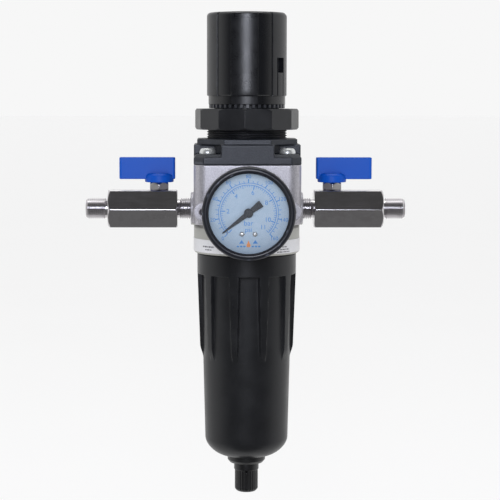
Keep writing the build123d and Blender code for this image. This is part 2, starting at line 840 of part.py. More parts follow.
def make_sector_gear():
    pitch = 360 / sector_teeth
    pitch_radius = gear_module * sector_teeth / 2
    root = pitch_radius - 1.1 * gear_module
    low, high = 90 - 12.6 * pitch, 90 + 2.6 * pitch
    inner = root - 2.2
    rim = Circle(root) - Circle(inner)
    rim &= sector_wedge(low, high, 30)
    arms = sector_wedge(low, high, inner + 1) - sector_wedge(low + 9, high - 9, inner - 0.8)
    shape = rim + (arms & Circle(inner + 0.5)) + Circle(2.4)
    for tooth in range(-12, 3):
        shape += Rot(0, 0, 90 + tooth * pitch) * tooth_face(sector_teeth, 0.8, root)
    tail = make_face(Polyline((0, -1.1), (5.6, -1.1), (5.6, 1.1), (0, 1.1), close=True))
    shape += tail
    gear = Pos(0, 0, 51.7) * extrude(shape, 0.8)
    gear += bar(0.6, 49.8, 55.2)
    gear += bar(0.4, 50.95, 52.0, x=tail_pin())
    return Pos(0, sector_pivot(), 0) * gear


def tail_pin():
    return 4.5


def sector_wedge(low, high, reach):
    a, b = radians(low), radians(high)
    return make_face(Polyline((0, 0), (reach * cos(a), reach * sin(a)), (reach * cos(b), reach * sin(b)), close=True))


def make_movement_frame():
    frame = None
    for back in (49.4, 54.0):
        plate = brick(-6.0, 6.0, sector_pivot() - 3.0, 4.5, back, back + 1.0)
        plate -= bar(0.68, back - 1, back + 2)
        plate -= bar(0.68, back - 1, back + 2, y=sector_pivot())
        frame = plate if frame is None else frame + plate
    for x in (-4.6, 4.6):
        frame += bar(0.9, 50.0, 54.5, x, 3.3)
    frame += bar(0.9, 50.0, 54.5, -4.6, sector_pivot() - 1.6)
    for x in (-3.85, 3.85):
        frame -= bar(0.75, 53.5, 56, x, -12.7)
    frame += bar(1.8, 48.95, 49.6, 0, -4.0)
    return frame


def make_bourdon_tube():
    # C-shaped flattened tube, from its foot by the stem clockwise to its tip below right
    ring = disc_ring(tube_radius + 0.8, tube_radius - 0.8, 43.6, 48.6)
    gap = make_face(Polyline((0, 0), (40 * cos(radians(220)), 40 * sin(radians(220))), (0, -60),
                             (40 * cos(radians(297)), 40 * sin(radians(297))), close=True))
    tube = ring - Pos(0, 0, 40) * extrude(gap, 12)
    foot = Rot(0, 0, 220) * brick(8.6, tube_radius + 0.8, -0.2, 2.6, 43.6, 48.6)
    foot -= brick(-8.05, 8.05, -6.55, 6.05, 40, 50)
    tip = Pos(8.6, -16.7, 0) * brick(-1.3, 1.3, -1.3, 1.3, 43.6, 50.6)
    return tube + foot + tip


def make_movement_link():
    length = 4.1
    link = brick(0, length, -0.55, 0.55, 51.0, 51.5)
    link += bar(1.0, 51.0, 51.5) + bar(1.0, 51.0, 51.5, x=length)
    link -= bar(0.45, 50, 52) + bar(0.45, 50, 52, x=length)
    return Pos(tail_pin(), sector_pivot(), 0) * link


# ---------------------------------------------------------------- shut-off valves
def pipe_thread(crest, start, end):
    # ring-groove thread along X, listed as (distance, radius)
    return [(x, r) for r, x in ring_thread(crest, pipe_root, pipe_pitch, start, end)]


def make_valve_body():
    hexagon = Rot(0, 90, 0) * prism(6, hex_across, 0, hex_length, turn=30)
    corner = hex_across / 2 / cos(radians(30))
    hexagon &= turned_x(
        (0, 0), (0, corner - 1.2), (0.9, corner + 0.1), (hex_length - 1.6, corner + 0.1),
        (hex_length, corner - 2.0), (hex_length, 0),
    )
    stub = [(-inner_stub, 0), (-inner_stub, pipe_root - 0.4)]
    stub += [(x, r + (x + 2.2) * pipe_taper) for x, r in pipe_thread(inlet_radius, -inner_stub + 0.9, -2.2)]
    stub += [(-2.2, pipe_root), (1, pipe_root), (1, 0)]
    valve = hexagon + turned_x(*stub)
    valve -= bar_x(flow_radius, -inner_stub - 1, 5)
    valve -= bar_x(barrel_radius, stem_offset - 8.0, hex_length + 1)
    valve -= bar(5.0, 4.0, 9.6, x=stem_offset)
    return valve - bar(3.2 + running_gap, 8, 14, x=stem_offset)


def make_valve_insert(crest):
    outline = [(19.45, flow_radius), (19.45, barrel_radius - 0.05), (hex_length - 0.8, barrel_radius - 0.05)]
    outline += [(hex_length - 0.8, pipe_root), (hex_length + 2.2, pipe_root)]
    outline += pipe_thread(crest, hex_length + 2.2, hex_length + outer_stub - 0.7)
    outline += [(hex_length + outer_stub, pipe_root + 0.1), (hex_length + outer_stub, flow_radius)]
    return turned_x(*outline)


def make_ball():
    ball = Pos(stem_offset, 0, 0) * Sphere(ball_radius)
    ball -= bar_x(flow_radius, 0, 30)
    return ball - brick(stem_offset - 20, stem_offset + 20, -1.25, 1.25, 5.4, 10)


def make_seats():
    # soft rings either side of the ball, each coned to touch it
    outer = barrel_radius - 0.05
    seat = turned_x((5.0, 5.53), (5.0, outer), (7.95, outer), (7.95, 4.6), (5.87, 4.6))
    return [Pos(stem_offset, 0, 0) * Rot(0, 0, turn) * seat for turn in (0, 180)]


def make_stem():
    blade = brick(-3.2, 3.2, -1.15, 1.15, 5.5, 8.0) & bar(3.6, 5, 9)
    stem = blade + bar(4.9, 7.55, 8.6) + bar(3.2, 8.5, lever_top - 5.4)
    flats = brick(-5, 5, 2.4, 5, lever_hub_bottom, 40) + brick(-5, 5, -5, -2.4, lever_hub_bottom, 40)
    return Pos(stem_offset, 0, 0) * (stem - flats)


def make_packing():
    return bar(4.9, 8.65, 9.55, x=stem_offset) - bar(3.25, 8, 10, x=stem_offset)


def make_gland_nut():
    nut = prism(6, 11.6, hex_across / 2 + 0.02, 16.5, turn=30)
    nut &= turned((0, 11), (5.7, 11.0), (6.9, 12.2), (6.9, 15.4), (5.9, 16.6), (0, 16.6))
    return Pos(stem_offset, 0, 0) * (nut - bar(3.2 + running_gap, 11, 17))


def make_handle():
    half = lever_thickness / 2
    blade = brick(-lever_in, lever_out, -half, half, lever_bottom, lever_top)
    blade = fillet(blade.edges().filter_by(Axis.Z), 1.6)
    blade = fillet(blade.edges().group_by(Axis.Z)[-1], 0.8)
    hub = turned(
        (0, lever_hub_bottom), (lever_hub_radius, lever_hub_bottom), (lever_hub_radius, lever_hub_top - 1.6),
        (lever_hub_radius - 1.8, lever_hub_top), (0, lever_hub_top),
    )
    handle = blade + hub
    socket = bar(3.24, lever_hub_bottom - 1, lever_top - 5.2)
    socket -= brick(-5, 5, 2.44, 5, 0, 40) + brick(-5, 5, -5, -2.44, 0, 40)
    handle -= socket
    handle -= bar(1.3, lever_bottom, lever_top + 1)
    handle -= bar(2.7, lever_top - 2.4, lever_top + 1)
    return Pos(stem_offset, 0, 0) * handle


def make_handle_screw():
    screw = bar(2.6, lever_top - 2.35, lever_top - 0.5) + bar(1.2, lever_top - 5.35, lever_top - 2.3)
    screw -= brick(-3, 3, -0.3, 0.3, lever_top - 1.2, lever_top)
    return Pos(stem_offset, 0, 0) * screw


def fitted(piece, side):
    # sets a valve piece on the right (+X) or, turned about Z, on the left
    if side == "right":
        return Pos(right_valve_x, 0, port_height) * piece
    return Pos(left_valve_x, 0, port_height) * Rot(0, 0, 180) * piece


def both_sides(*pieces):
    solids = []
    for side in ("left", "right"):
        for piece in pieces:
            solids += fitted(piece, side).solids()
    return Compound(children=solids)


# ---------------------------------------------------------------- write every node
regulator = {
    "knob": make_knob, "adjusting_screw": make_adjusting_screw, "thrust_washer": make_thrust_washer,
    "spring_seat": make_spring_seat, "main_spring": make_main_spring, "bonnet": make_bonnet,
    "panel_nut": make_panel_nut, "bonnet_screws": make_bonnet_screws, "diaphragm_plate": make_diaphragm_plate,
    "diaphragm": make_diaphragm, "diaphragm_nut": make_diaphragm_nut, "valve_stem": make_valve_stem,
    "poppet": make_poppet, "valve_seat": make_valve_seat, "poppet_spring": make_poppet_spring,
    "valve_guide": make_valve_guide, "body": make_body, "rear_port_plug": make_rear_port_plug,
    "body_label": make_body_label, "deflector": make_deflector, "filter_element": make_filter_element,
    "tie_rod": make_tie_rod, "baffle": make_baffle, "baffle_nut": make_baffle_nut, "bowl": make_bowl,
    "bowl_o_ring": make_bowl_o_ring, "drain_collar": make_drain_collar, "drain_body": make_drain_body,
    "drain_seal": make_drain_seal, "drain_stem": make_drain_stem, "drain_knob": make_drain_knob,
}
for name, make in regulator.items():
    save(make(), name)

gauge = {
    "gauge_stem": make_gauge_stem, "gauge_case": make_gauge_case, "gauge_bezel": make_gauge_bezel,
    "gauge_lens": make_gauge_lens, "gauge_dial": make_gauge_dial, "dial_screws": make_dial_screws,
    "stop_pin": make_stop_pin, "pointer": make_pointer, "pointer_shaft": make_pointer_shaft,
    "sector_gear": make_sector_gear, "movement_frame": make_movement_frame,
    "bourdon_tube": make_bourdon_tube, "movement_link": make_movement_link,
}
for name, make in gauge.items():
    save(front.location * make(), name)

valve = {
    "valve_body": make_valve_body, "ball": make_ball, "stem": make_stem, "handle": make_handle,
    "handle_screw": make_handle_screw,
}
for side, crest in (("left", inlet_radius), ("right", outlet_radius)):
    for name, make in valve.items():
        save(fitted(make(), side), f"{side}_{name}")
    save(fitted(make_valve_insert(crest), side), f"{side}_valve_insert")
save(both_sides(*make_seats()), "ball_seats")
save(both_sides(make_packing()), "stem_packings")
save(both_sides(make_gland_nut()), "gland_nuts")
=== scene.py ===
import json
from itertools import cycle
from math import cos, pi, radians, sin

import bmesh
import bpy
import numpy as np
from mathutils import Matrix, Vector


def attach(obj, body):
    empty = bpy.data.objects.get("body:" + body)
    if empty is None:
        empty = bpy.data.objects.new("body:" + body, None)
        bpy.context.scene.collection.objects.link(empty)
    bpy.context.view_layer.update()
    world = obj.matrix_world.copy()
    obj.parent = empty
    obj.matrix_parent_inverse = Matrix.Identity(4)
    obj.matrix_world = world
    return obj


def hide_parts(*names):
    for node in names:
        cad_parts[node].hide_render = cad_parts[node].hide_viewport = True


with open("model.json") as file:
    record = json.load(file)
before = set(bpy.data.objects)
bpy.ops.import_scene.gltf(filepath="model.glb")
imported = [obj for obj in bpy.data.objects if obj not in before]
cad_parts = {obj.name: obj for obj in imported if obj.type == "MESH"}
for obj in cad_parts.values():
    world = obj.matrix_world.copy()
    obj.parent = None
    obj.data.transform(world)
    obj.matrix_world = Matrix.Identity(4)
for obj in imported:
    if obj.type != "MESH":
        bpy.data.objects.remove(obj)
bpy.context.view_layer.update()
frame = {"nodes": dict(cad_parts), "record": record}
print("frame loaded:", len(frame["nodes"]), "nodes")

mm = 0.001
portHeight = -44.0
gaugeHeight = -42.7
valveInner = {"left": 43.5, "right": 42.1}  # from the middle to each valve's inner face


# ---- shader building
class Value:
    # one output socket, so that shader maths can be written as sums
    def __init__(self, finish, socket):
        self.finish = finish
        self.socket = socket

    def maths(self, operation, first, second):
        return self.finish.add("Math", {"operation": operation}, {0: first, 1: second})

    def __add__(self, other):
        return self.maths("ADD", self, other)

    def __radd__(self, other):
        return self.maths("ADD", other, self)

    def __sub__(self, other):
        return self.maths("SUBTRACT", self, other)

    def __rsub__(self, other):
        return self.maths("SUBTRACT", other, self)

    def __mul__(self, other):
        return self.maths("MULTIPLY", self, other)

    def __rmul__(self, other):
        return self.maths("MULTIPLY", other, self)

    def __truediv__(self, other):
        return self.maths("DIVIDE", self, other)

    def __pow__(self, other):
        return self.maths("POWER", self, other)

    def within(self, low, high):
        # 0 below low, 1 above high
        return self.finish.add("MapRange", {"interpolation_type": "SMOOTHSTEP"}, {0: self, 1: low, 2: high})


class Shading:
    # a node tree and the shader at its end
    def __init__(self, owner, shaderName):
        owner.use_nodes = True
        self.tree = owner.node_tree
        self.shader = self.tree.nodes[shaderName]

    def add(self, kind, settings=None, sockets=None, out=0):
        node = self.tree.nodes.new("ShaderNode" + kind)
        for key, value in (settings or {}).items():
            setattr(node, key, value)
        for key, value in (sockets or {}).items():
            if isinstance(value, Value):
                self.tree.links.new(value.socket, node.inputs[key])
            elif isinstance(value, tuple) and len(value) == 3 and node.inputs[key].type == "RGBA":
                node.inputs[key].default_value = (*value, 1.0)
            else:
                node.inputs[key].default_value = value
        return Value(self, node.outputs[out])

    def feed(self, socket, value):
        self.tree.links.new(value.socket, self.shader.inputs[socket])


finishes = {}
socketNames = {"base": "Base Color", "roughness": "Roughness", "metallic": "Metallic", "alpha": "Alpha",
               "coat": "Coat Weight", "coatRough": "Coat Roughness", "shine": "Specular IOR Level"}


class Finish(Shading):
    def __init__(self, name, **look):
        self.material = bpy.data.materials.new(name)
        super().__init__(self.material, "Principled BSDF")
        self.height = None
        finishes[name] = self
        for key, value in look.items():
            socket = self.shader.inputs[socketNames[key]]
            socket.default_value = (*value, 1.0) if isinstance(value, tuple) else value

    def place(self):
        # position on the piece in metres, in the frame's axes
        return self.add("TexCoord", out=3)

    def level(self):
        return self.add("SeparateXYZ", {}, {0: self.place()}, out=2)

    def stretched(self, x, y, z):
        return self.add("VectorMath", {"operation": "MULTIPLY"}, {0: self.place(), 1: (x, y, z)})

    def noise(self, size, detail=3.0, rough=0.55):
        # cloudy value of that grain size in mm
        return self.add("TexNoise", {}, {"Vector": self.place(), "Scale": 1 / (size * mm),
                                         "Detail": detail, "Roughness": rough})

    def cells(self, size):
        return self.add("TexVoronoi", {}, {"Vector": self.place(), "Scale": 1 / (size * mm)})

    def edge(self, low, high):
        # 1 on sharp outer edges of dense meshes, used for pale wear and, on gloss paint, a painted highlight
        return self.add("NewGeometry", out=7).within(low, high)

    def blend(self, factor, first, second):
        return self.add("Mix", {"data_type": "RGBA"}, {0: factor, 6: first, 7: second}, out=2)

    def bump(self, height, depth):
        # height is 0 to 1 and depth its size in mm; a second bump rides on the first
        sockets = {"Strength": 1.0, "Distance": depth * mm, "Height": height}
        if self.height is not None:
            sockets["Normal"] = self.height
        self.height = self.add("Bump", {}, sockets)
        self.feed("Normal", self.height)


# ---- finishes, one for each material of the record, a few for print and paint, and a darker neck copy for painted shade
def mouldedPlastic(name, base, pale, roughness, grain, depth, dust=0.35, shine=0.5):
    # grained plastic with pale wear on its edges; a sunk flute gets none of the pale mix, a painted shade that keeps
    # it darker, and is smoother
    finish = Finish(name, base=base, roughness=roughness, shine=shine)
    cloud = finish.noise(14, 4)
    speck = finish.noise(grain, 2)
    edge = finish.edge(0.53, 0.60)
    sunk = finish.add("Attribute", {"attribute_name": "sunk"}, out=2)
    mask = cloud.within(0.35, 0.75) * dust + edge * 0.8
    # the sunk flutes are kept darker than the lands: painted shade
    finish.feed("Base Color", finish.blend(mask * (1 - sunk), base, pale))
    finish.feed("Roughness", roughness + (cloud - 0.5) * 0.22 + (speck - 0.5) * 0.16 - sunk * 0.07)
    finish.bump(speck, depth)
    finish.bump(finish.noise(grain * 7, 2), depth * 1.4)


def castMetal(name, base, dark, pale, metallic, roughness, grain, depth, plainShadedSkirt=None):
    # blasted casting, pitted and speckled
    finish = Finish(name, base=base, roughness=roughness, metallic=metallic)
    cloud = finish.noise(9, 4)
    speck = finish.noise(grain, 3, 0.7)
    pits = finish.cells(grain * 1.6).within(0.05, 0.45)
    tone = speck.within(0.34, 0.66)
    colour = finish.blend(tone, dark, base)
    colour = finish.blend(finish.edge(0.52, 0.58) * 0.6 + cloud.within(0.5, 0.8) * 0.2, colour, pale)
    if plainShadedSkirt:
        # the turned skirt below the block gets a plain colour without the speckled tone, painted darker and olive as
        # painted shade
        turnedPart = 1 - finish.level().within(-0.0535, -0.0525)
        colour = finish.blend(turnedPart, colour, plainShadedSkirt)
    finish.feed("Base Color", colour)
    finish.feed("Roughness", roughness + (speck - 0.5) * 0.3 + (cloud - 0.5) * 0.15)
    finish.bump(pits, depth * 0.6)
    finish.bump(speck, depth)


def platedMetal(name, base, dark, roughness, along=(1, 1, 1), metallic=1.0):
    # bright or plated metal with fine tool lines, smears and dulled spots
    finish = Finish(name, base=base, roughness=roughness, metallic=metallic)
    lines = finish.add("TexNoise", {}, {"Vector": finish.stretched(*along), "Scale": 1500.0, "Detail": 3.0})
    smear = finish.noise(7, 5, 0.65)
    speck = finish.noise(0.9, 3)
    stain = smear.within(0.42, 0.72) * 0.35 + speck.within(0.6, 0.8) * 0.2
    finish.feed("Base Color", finish.blend(stain, base, dark))
    finish.feed("Roughness", roughness + (smear - 0.45) * 0.25 + (lines - 0.5) * 0.14)
    finish.bump(lines, 0.006)
    finish.bump(smear, 0.05)


def softPiece(name, base, dark, roughness, grain, depth):
    # rubber, film, print and other dull pieces
    finish = Finish(name, base=base, roughness=roughness)
    speck = finish.noise(grain, 4, 0.65)
    finish.feed("Base Color", finish.blend(speck.within(0.3, 0.7), base, dark))
    finish.feed("Roughness", roughness + (speck - 0.5) * 0.2)
    finish.bump(speck, depth)


def glossPaint(name, base, roughness):
    finish = Finish(name, base=base, roughness=roughness, shine=0.35, coat=0.12, coatRough=0.12)
    peel = finish.noise(1.6, 2)
    edge = finish.edge(0.53, 0.6)
    # pale blue on the edges: a painted highlight of reflected light
    finish.feed("Base Color", finish.blend(edge * 0.7, base, (0.07, 0.08, 0.11)))
    finish.feed("Roughness", roughness + (peel - 0.5) * 0.12)
    finish.bump(peel, 0.01)


def clearGlass(name):
    finish = Finish(name, base=(0.30, 0.32, 0.34), roughness=0.04, alpha=0.05)
    smear = finish.noise(9, 4)
    finish.feed("Roughness", 0.03 + smear.within(0.5, 0.85) * 0.12)


mouldedPlastic("black_nylon", (0.0040, 0.0045, 0.006), (0.032, 0.034, 0.041), 0.31, 0.55, 0.012, dust=0.22)
mouldedPlastic("black_nut", (0.007, 0.0075, 0.0095), (0.045, 0.047, 0.052), 0.34, 0.5, 0.016, dust=0.14)
mouldedPlastic("black_bowl", (0.0075, 0.0080, 0.0095), (0.022, 0.023, 0.026), 0.36, 0.6, 0.014,
               dust=0.2, shine=0.34)
mouldedPlastic("black_acetal", (0.0035, 0.0035, 0.004), (0.022, 0.022, 0.024), 0.32, 0.5, 0.010, dust=0.15)
mouldedPlastic("blue_nylon", (0.001, 0.070, 0.440), (0.008, 0.112, 0.520), 0.40, 0.7, 0.008,
               dust=0.10, shine=0.2)
mouldedPlastic("grey_acetal", (0.50, 0.51, 0.52), (0.62, 0.62, 0.62), 0.40, 0.6, 0.010)
castMetal("slate_casting", (0.027, 0.031, 0.041), (0.013, 0.015, 0.020), (0.080, 0.086, 0.102),
          0.25, 0.42, 0.75, 0.05)
# a darker copy of slate_casting for the threaded neck: painted shade under the nut
castMetal("neckSlate", (0.007, 0.008, 0.011), (0.004, 0.0045, 0.006), (0.03, 0.033, 0.04), 0.1, 0.5, 0.75, 0.03)
castMetal("silver_casting", (0.49, 0.48, 0.51), (0.33, 0.32, 0.35), (0.70, 0.69, 0.72),
          0.55, 0.42, 0.7, 0.045, plainShadedSkirt=(0.40, 0.40, 0.375))
platedMetal("chrome", (0.60, 0.585, 0.60), (0.40, 0.38, 0.39), 0.16, (0.06, 1, 1))
platedMetal("zinc_steel", (0.70, 0.72, 0.72), (0.46, 0.47, 0.46), 0.30, metallic=0.75)
platedMetal("spring_steel", (0.34, 0.34, 0.35), (0.18, 0.18, 0.19), 0.34)
platedMetal("brass", (0.60, 0.42, 0.17), (0.36, 0.24, 0.09), 0.28)
softPiece("label_film", (0.74, 0.74, 0.76), (0.68, 0.68, 0.70), 0.38, 1.2, 0.006)
softPiece("filter_white", (0.78, 0.77, 0.72), (0.62, 0.61, 0.56), 0.85, 0.7, 0.08)
softPiece("nitrile", (0.014, 0.014, 0.015), (0.028, 0.028, 0.028), 0.62, 0.5, 0.02)
softPiece("ptfe", (0.80, 0.80, 0.77), (0.72, 0.71, 0.67), 0.45, 2.0, 0.008)
softPiece("dial_face", (0.385, 0.505, 0.635), (0.355, 0.475, 0.61), 0.45, 3.0, 0.004)
softPiece("needle_black", (0.016, 0.019, 0.026), (0.026, 0.029, 0.038), 0.65, 0.8, 0.006)
glossPaint("bezel_black", (0.007, 0.008, 0.013), 0.30)
clearGlass("clear_lens")
softPiece("printBlue", (0.030, 0.215, 0.62), (0.045, 0.25, 0.66), 0.5, 1.0, 0.002)
softPiece("printOrange", (0.80, 0.25, 0.05), (0.85, 0.32, 0.08), 0.5, 1.0, 0.002)
softPiece("printGrey", (0.10, 0.10, 0.12), (0.16, 0.16, 0.18), 0.5, 1.0, 0.002)
print("finishes made:", len(finishes))


# ---- mesh building, all in millimetres until the object is made
frameSlots = [entry["slot"] for entry in frame["record"]["materials"]]


def upright(points):
    return points


def gaugeFace(points):
    # drawn facing the viewer, third number towards the viewer from the axis
    x, y, z = points[..., 0], points[..., 1], points[..., 2]
    return np.stack([x, -z, y + gaugeHeight], axis=-1)


def valvePlace(side):
    # drawn outwards along X from the valve's inner face
    def moved(points):
        x, y, z = points[..., 0], points[..., 1], points[..., 2]
        if side == "right":
            return np.stack([x + valveInner["right"], y, z + portHeight], axis=-1)
        return np.stack([-x - valveInner["left"], -y, z + portHeight], axis=-1)
    return moved


def inScene(name, data):
    thing = bpy.data.objects.new(name, data)
    bpy.context.scene.collection.objects.link(thing)
    return thing


def makePiece(name, body, finishName, points, faces, smooth=38, weighted=True, slot=None):
    # points in mm become a welded mesh with clean normals
    mesh = bpy.data.meshes.new(name)
    mesh.from_pydata((np.asarray(points, float).reshape(-1, 3) * mm).tolist(), [], faces)
    form = bmesh.new()
    form.from_mesh(mesh)
    bmesh.ops.remove_doubles(form, verts=form.verts, dist=0.004 * mm)
    bmesh.ops.dissolve_degenerate(form, dist=0.002 * mm, edges=form.edges)
    bmesh.ops.recalc_face_normals(form, faces=form.faces)
    form.to_mesh(mesh)
    form.free()
    return addPiece(name, body, finishName, mesh, smooth, weighted, slot)


def addPiece(name, body, finishName, mesh, smooth=38, weighted=True, slot=None):
    # smooth is the angle in degrees above which an edge stays sharp
    for face in mesh.polygons:
        face.use_smooth = True
    mesh.set_sharp_from_angle(angle=radians(smooth))
    mesh.materials.clear()
    mesh.materials.append(finishes[finishName].material)
    piece = inScene(name, mesh)
    if weighted:
        normals = piece.modifiers.new("evenShading", "WEIGHTED_NORMAL")
        normals.keep_sharp = True
    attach(piece, body)
    slot or finishName in frameSlots
    return piece


def gridFaces(rows, columns, closedRows):
    # quads between neighbouring points; the columns always run right round
    lastRow = rows if closedRows else rows - 1
    row, column = np.meshgrid(np.arange(lastRow), np.arange(columns), indexing="ij")
    nextRow, nextColumn = (row + 1) % rows, (column + 1) % columns
    quads = np.stack([row * columns + column, row * columns + nextColumn,
                      nextRow * columns + nextColumn, nextRow * columns + column], axis=-1)
    return quads.reshape(-1, 4).tolist()


def roundOff(outline, radius=0.4, steps=3, closed=False):
    # softens the corners of an outline; a point's third number is its own radius
    made = []
    count = len(outline)
    for index, point in enumerate(outline):
        here = np.array(point[:2], float)
        own = point[2] if len(point) > 2 else radius
        if not closed and index in (0, count - 1):
            made.append(tuple(here))
            continue
        before = np.array(outline[index - 1][:2], float) - here
        after = np.array(outline[(index + 1) % count][:2], float) - here
        one, two = np.linalg.norm(before), np.linalg.norm(after)
        if one < 1e-6 or two < 1e-6 or own <= 0 or before @ after / one / two < -0.995:
            made.append(tuple(here))
            continue
        reach = min(own, 0.48 * one, 0.48 * two)
        for step in range(steps + 1):
            t = step / steps
            spot = here + (1 - t) ** 2 * before / one * reach + t ** 2 * after / two * reach
            made.append(tuple(spot))
    return made


def finer(outline, step):
    # adds points so that none are further apart than step
    made = [tuple(outline[0])]
    for first, second in zip(outline[:-1], outline[1:]):
        parts = max(1, int(np.ceil(np.hypot(second[0] - first[0], second[1] - first[1]) / step)))
        for part in range(1, parts + 1):
            made.append((first[0] + (second[0] - first[0]) * part / parts,
                         first[1] + (second[1] - first[1]) * part / parts))
    return made


def spin(name, body, finishName, outline, angles=128, shape=None, place=upright, axis="z",
         closed=True, centre=(0, 0), **options):
    # turns an outline of (radius, height); angles run right from the front, in degrees
    if isinstance(angles, int):
        angles = np.arange(angles) * 360 / angles
    radius = np.array([p[0] for p in outline], float)[:, None] + 0 * angles[None, :]
    height = np.array([p[1] for p in outline], float)[:, None] + 0 * angles[None, :]
    turn = np.broadcast_to(angles[None, :], radius.shape)
    if shape:
        radius, height = shape(radius, height, turn)
    a = np.radians(turn)
    if axis == "z":
        points = np.stack([centre[0] + radius * np.sin(a), centre[1] - radius * np.cos(a), height], axis=-1)
    else:
        points = np.stack([height, radius * np.sin(a), radius * np.cos(a)], axis=-1)
    faces = gridFaces(len(outline), len(angles), closed)
    return makePiece(name, body, finishName, place(points), faces, **options)


def softMin(a, b, k):
    # the smaller of two, rounded over where they meet
    mix = np.clip(0.5 + 0.5 * (b - a) / k, 0, 1)
    return b * (1 - mix) + a * mix - k * mix * (1 - mix)


def ramp(value, low, high):
    # eases from 0 at low to 1 at high
    t = np.clip((value - low) / (high - low), 0, 1)
    return t * t * (3 - 2 * t)


def off(turn, centre):
    # signed angle from a direction, in degrees
    return (turn - centre + 180) % 360 - 180


def manySided(turn, sides, across, rounding, first):
    # radius of a polygon with rounded corners; first is the direction of a flat
    step = 360 / sides
    fromFlat = np.radians((turn - first + step / 2) % step - step / 2)
    fromCorner = np.radians((turn - first) % step - step / 2)
    flat = across / 2 / np.cos(fromFlat)
    reach = (across / 2 - rounding) / cos(pi / sides)
    inside = rounding ** 2 - (reach * np.sin(fromCorner)) ** 2
    curved = reach * np.cos(fromCorner) + np.sqrt(np.maximum(inside, 0))
    touch = np.degrees(np.arctan2(np.tan(pi / sides) * (across / 2 - rounding), across / 2))
    return np.where(np.degrees(np.abs(fromFlat)) > touch, np.minimum(curved, flat), flat)


def flats(sides, across, rounding, first, outside, ease):
    # shape that cuts a turned outline to flats, beyond the radius outside
    def shape(radius, height, turn):
        limit = manySided(turn, sides, across, rounding, first)
        return np.where(radius > outside, softMin(radius, limit, ease), radius), height
    return shape


def cornerAngles(sides, first, spread):
    # columns gathered round each corner
    step = 360 / sides
    made = []
    for side in range(sides):
        corner = first + step / 2 + side * step
        made += [corner + s for s in spread] + [corner - s for s in spread if s > 0]
        made += [corner + step / 2]
    return np.array(sorted({round(m % 360, 4) for m in made}))


def loose(node):
    # a welded copy of a CAD node's mesh
    mesh = frame["nodes"][node].data.copy()
    form = bmesh.new()
    form.from_mesh(mesh)
    bmesh.ops.remove_doubles(form, verts=form.verts, dist=0.002 * mm)
    form.to_mesh(mesh)
    form.free()
    return mesh


def takenOff(holder):
    # the finished mesh of a helper object, which is then removed
    bpy.context.view_layer.update()
    made = bpy.data.meshes.new_from_object(holder.evaluated_get(bpy.context.evaluated_depsgraph_get()))
    bpy.data.objects.remove(holder)
    return made


def applied(mesh, **modifiers):
    # mesh after modifiers, given as name=(type, settings)
    holder = inScene("holder", mesh)
    for label, (kind, settings) in modifiers.items():
        modifier = holder.modifiers.new(label, kind)
        for key, value in settings.items():
            setattr(modifier, key, value)
    return takenOff(holder)


def castCopy(name, node, finishName, voxel, below=None):
    # softened copy of a casting, with the rounded edges a mould leaves, cut off above a height
    mesh = applied(
        loose(node),
        skin=("REMESH", {"mode": "VOXEL", "voxel_size": voxel * mm}),
        ease=("SMOOTH", {"factor": 0.5, "iterations": 3}),
        thin=("DECIMATE", {"ratio": 0.4}),
    )
    if below is not None:
        form = bmesh.new()
        form.from_mesh(mesh)
        everything = form.verts[:] + form.edges[:] + form.faces[:]
        bmesh.ops.bisect_plane(form, geom=everything, plane_co=(0, 0, below * mm), plane_no=(0, 0, 1),
                               clear_outer=True)
        form.to_mesh(mesh)
        form.free()
    piece = addPiece(name, "housing", finishName, mesh, smooth=60, weighted=False)
    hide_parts(node)


# ---- knob
knobLook = {"radius": 25.1, "ring": 24.0, "bore": 21.2, "top": 77.9, "bottom": 21.2, "ringTop": 26.6, "roof": 3.0,
            "flutes": (26.4, -36.2, -96, -156, 144, 85), "fluteDepth": 0.7, "fluteSpan": 24.0, "rimRound": 2.4,
            "windowAngle": 55.0, "windowWidth": 7.3, "windowLow": 40.8, "windowHigh": 49.9, "windowFloor": 21.5,
            "grooveFloor": 23.7, "notchAngle": -3.5, "notchHalf": 6.7, "notchFloor": 24.2,
            "hub": 9.0, "hubBore": 5.4, "hubLow": 60.0, "hubTop": 75.1,
            "teeth": 40, "firstTooth": 90, "toothSpan": 4.0, "toothInner": 22.0, "toothOuter": 23.7}


def inFlute(turn):
    # 1 inside a flute, easing to 0 beside it
    flute = np.zeros_like(turn)
    for middle in knobLook["flutes"]:
        away = np.abs(off(turn, middle))
        flute = np.maximum(flute, 1 - ramp(away, knobLook["fluteSpan"] / 2 - 0.9, knobLook["fluteSpan"] / 2 + 0.1))
    return flute


def knobShape(radius, height, turn):
    look = knobLook
    outside = (radius > look["bore"] + 0.6) & (height > look["ringTop"] + 0.05)
    flute = inFlute(turn)
    changed = np.where(outside, radius - flute * look["fluteDepth"], radius)
    side = off(turn, look["windowAngle"])
    half = np.degrees(look["windowWidth"] / 2 / look["radius"])
    inWindow = (np.abs(side) < half) & (height > look["windowLow"]) & (height < look["windowHigh"])
    changed = np.where(outside & inWindow, np.minimum(changed, look["windowFloor"]), changed)
    groove = (np.abs(np.abs(side) - half + 1.1) < 0.75) & (height <= look["windowLow"])
    changed = np.where(outside & groove, np.minimum(changed, look["grooveFloor"]), changed)
    inNotch = np.abs(off(turn, look["notchAngle"])) < np.degrees(look["notchHalf"] / look["radius"])
    inNotch &= (height > look["top"] - 3.9) & (height < look["top"] - 1.4)
    changed = np.where(outside & inNotch, np.minimum(changed, look["notchFloor"]), changed)
    return changed, height


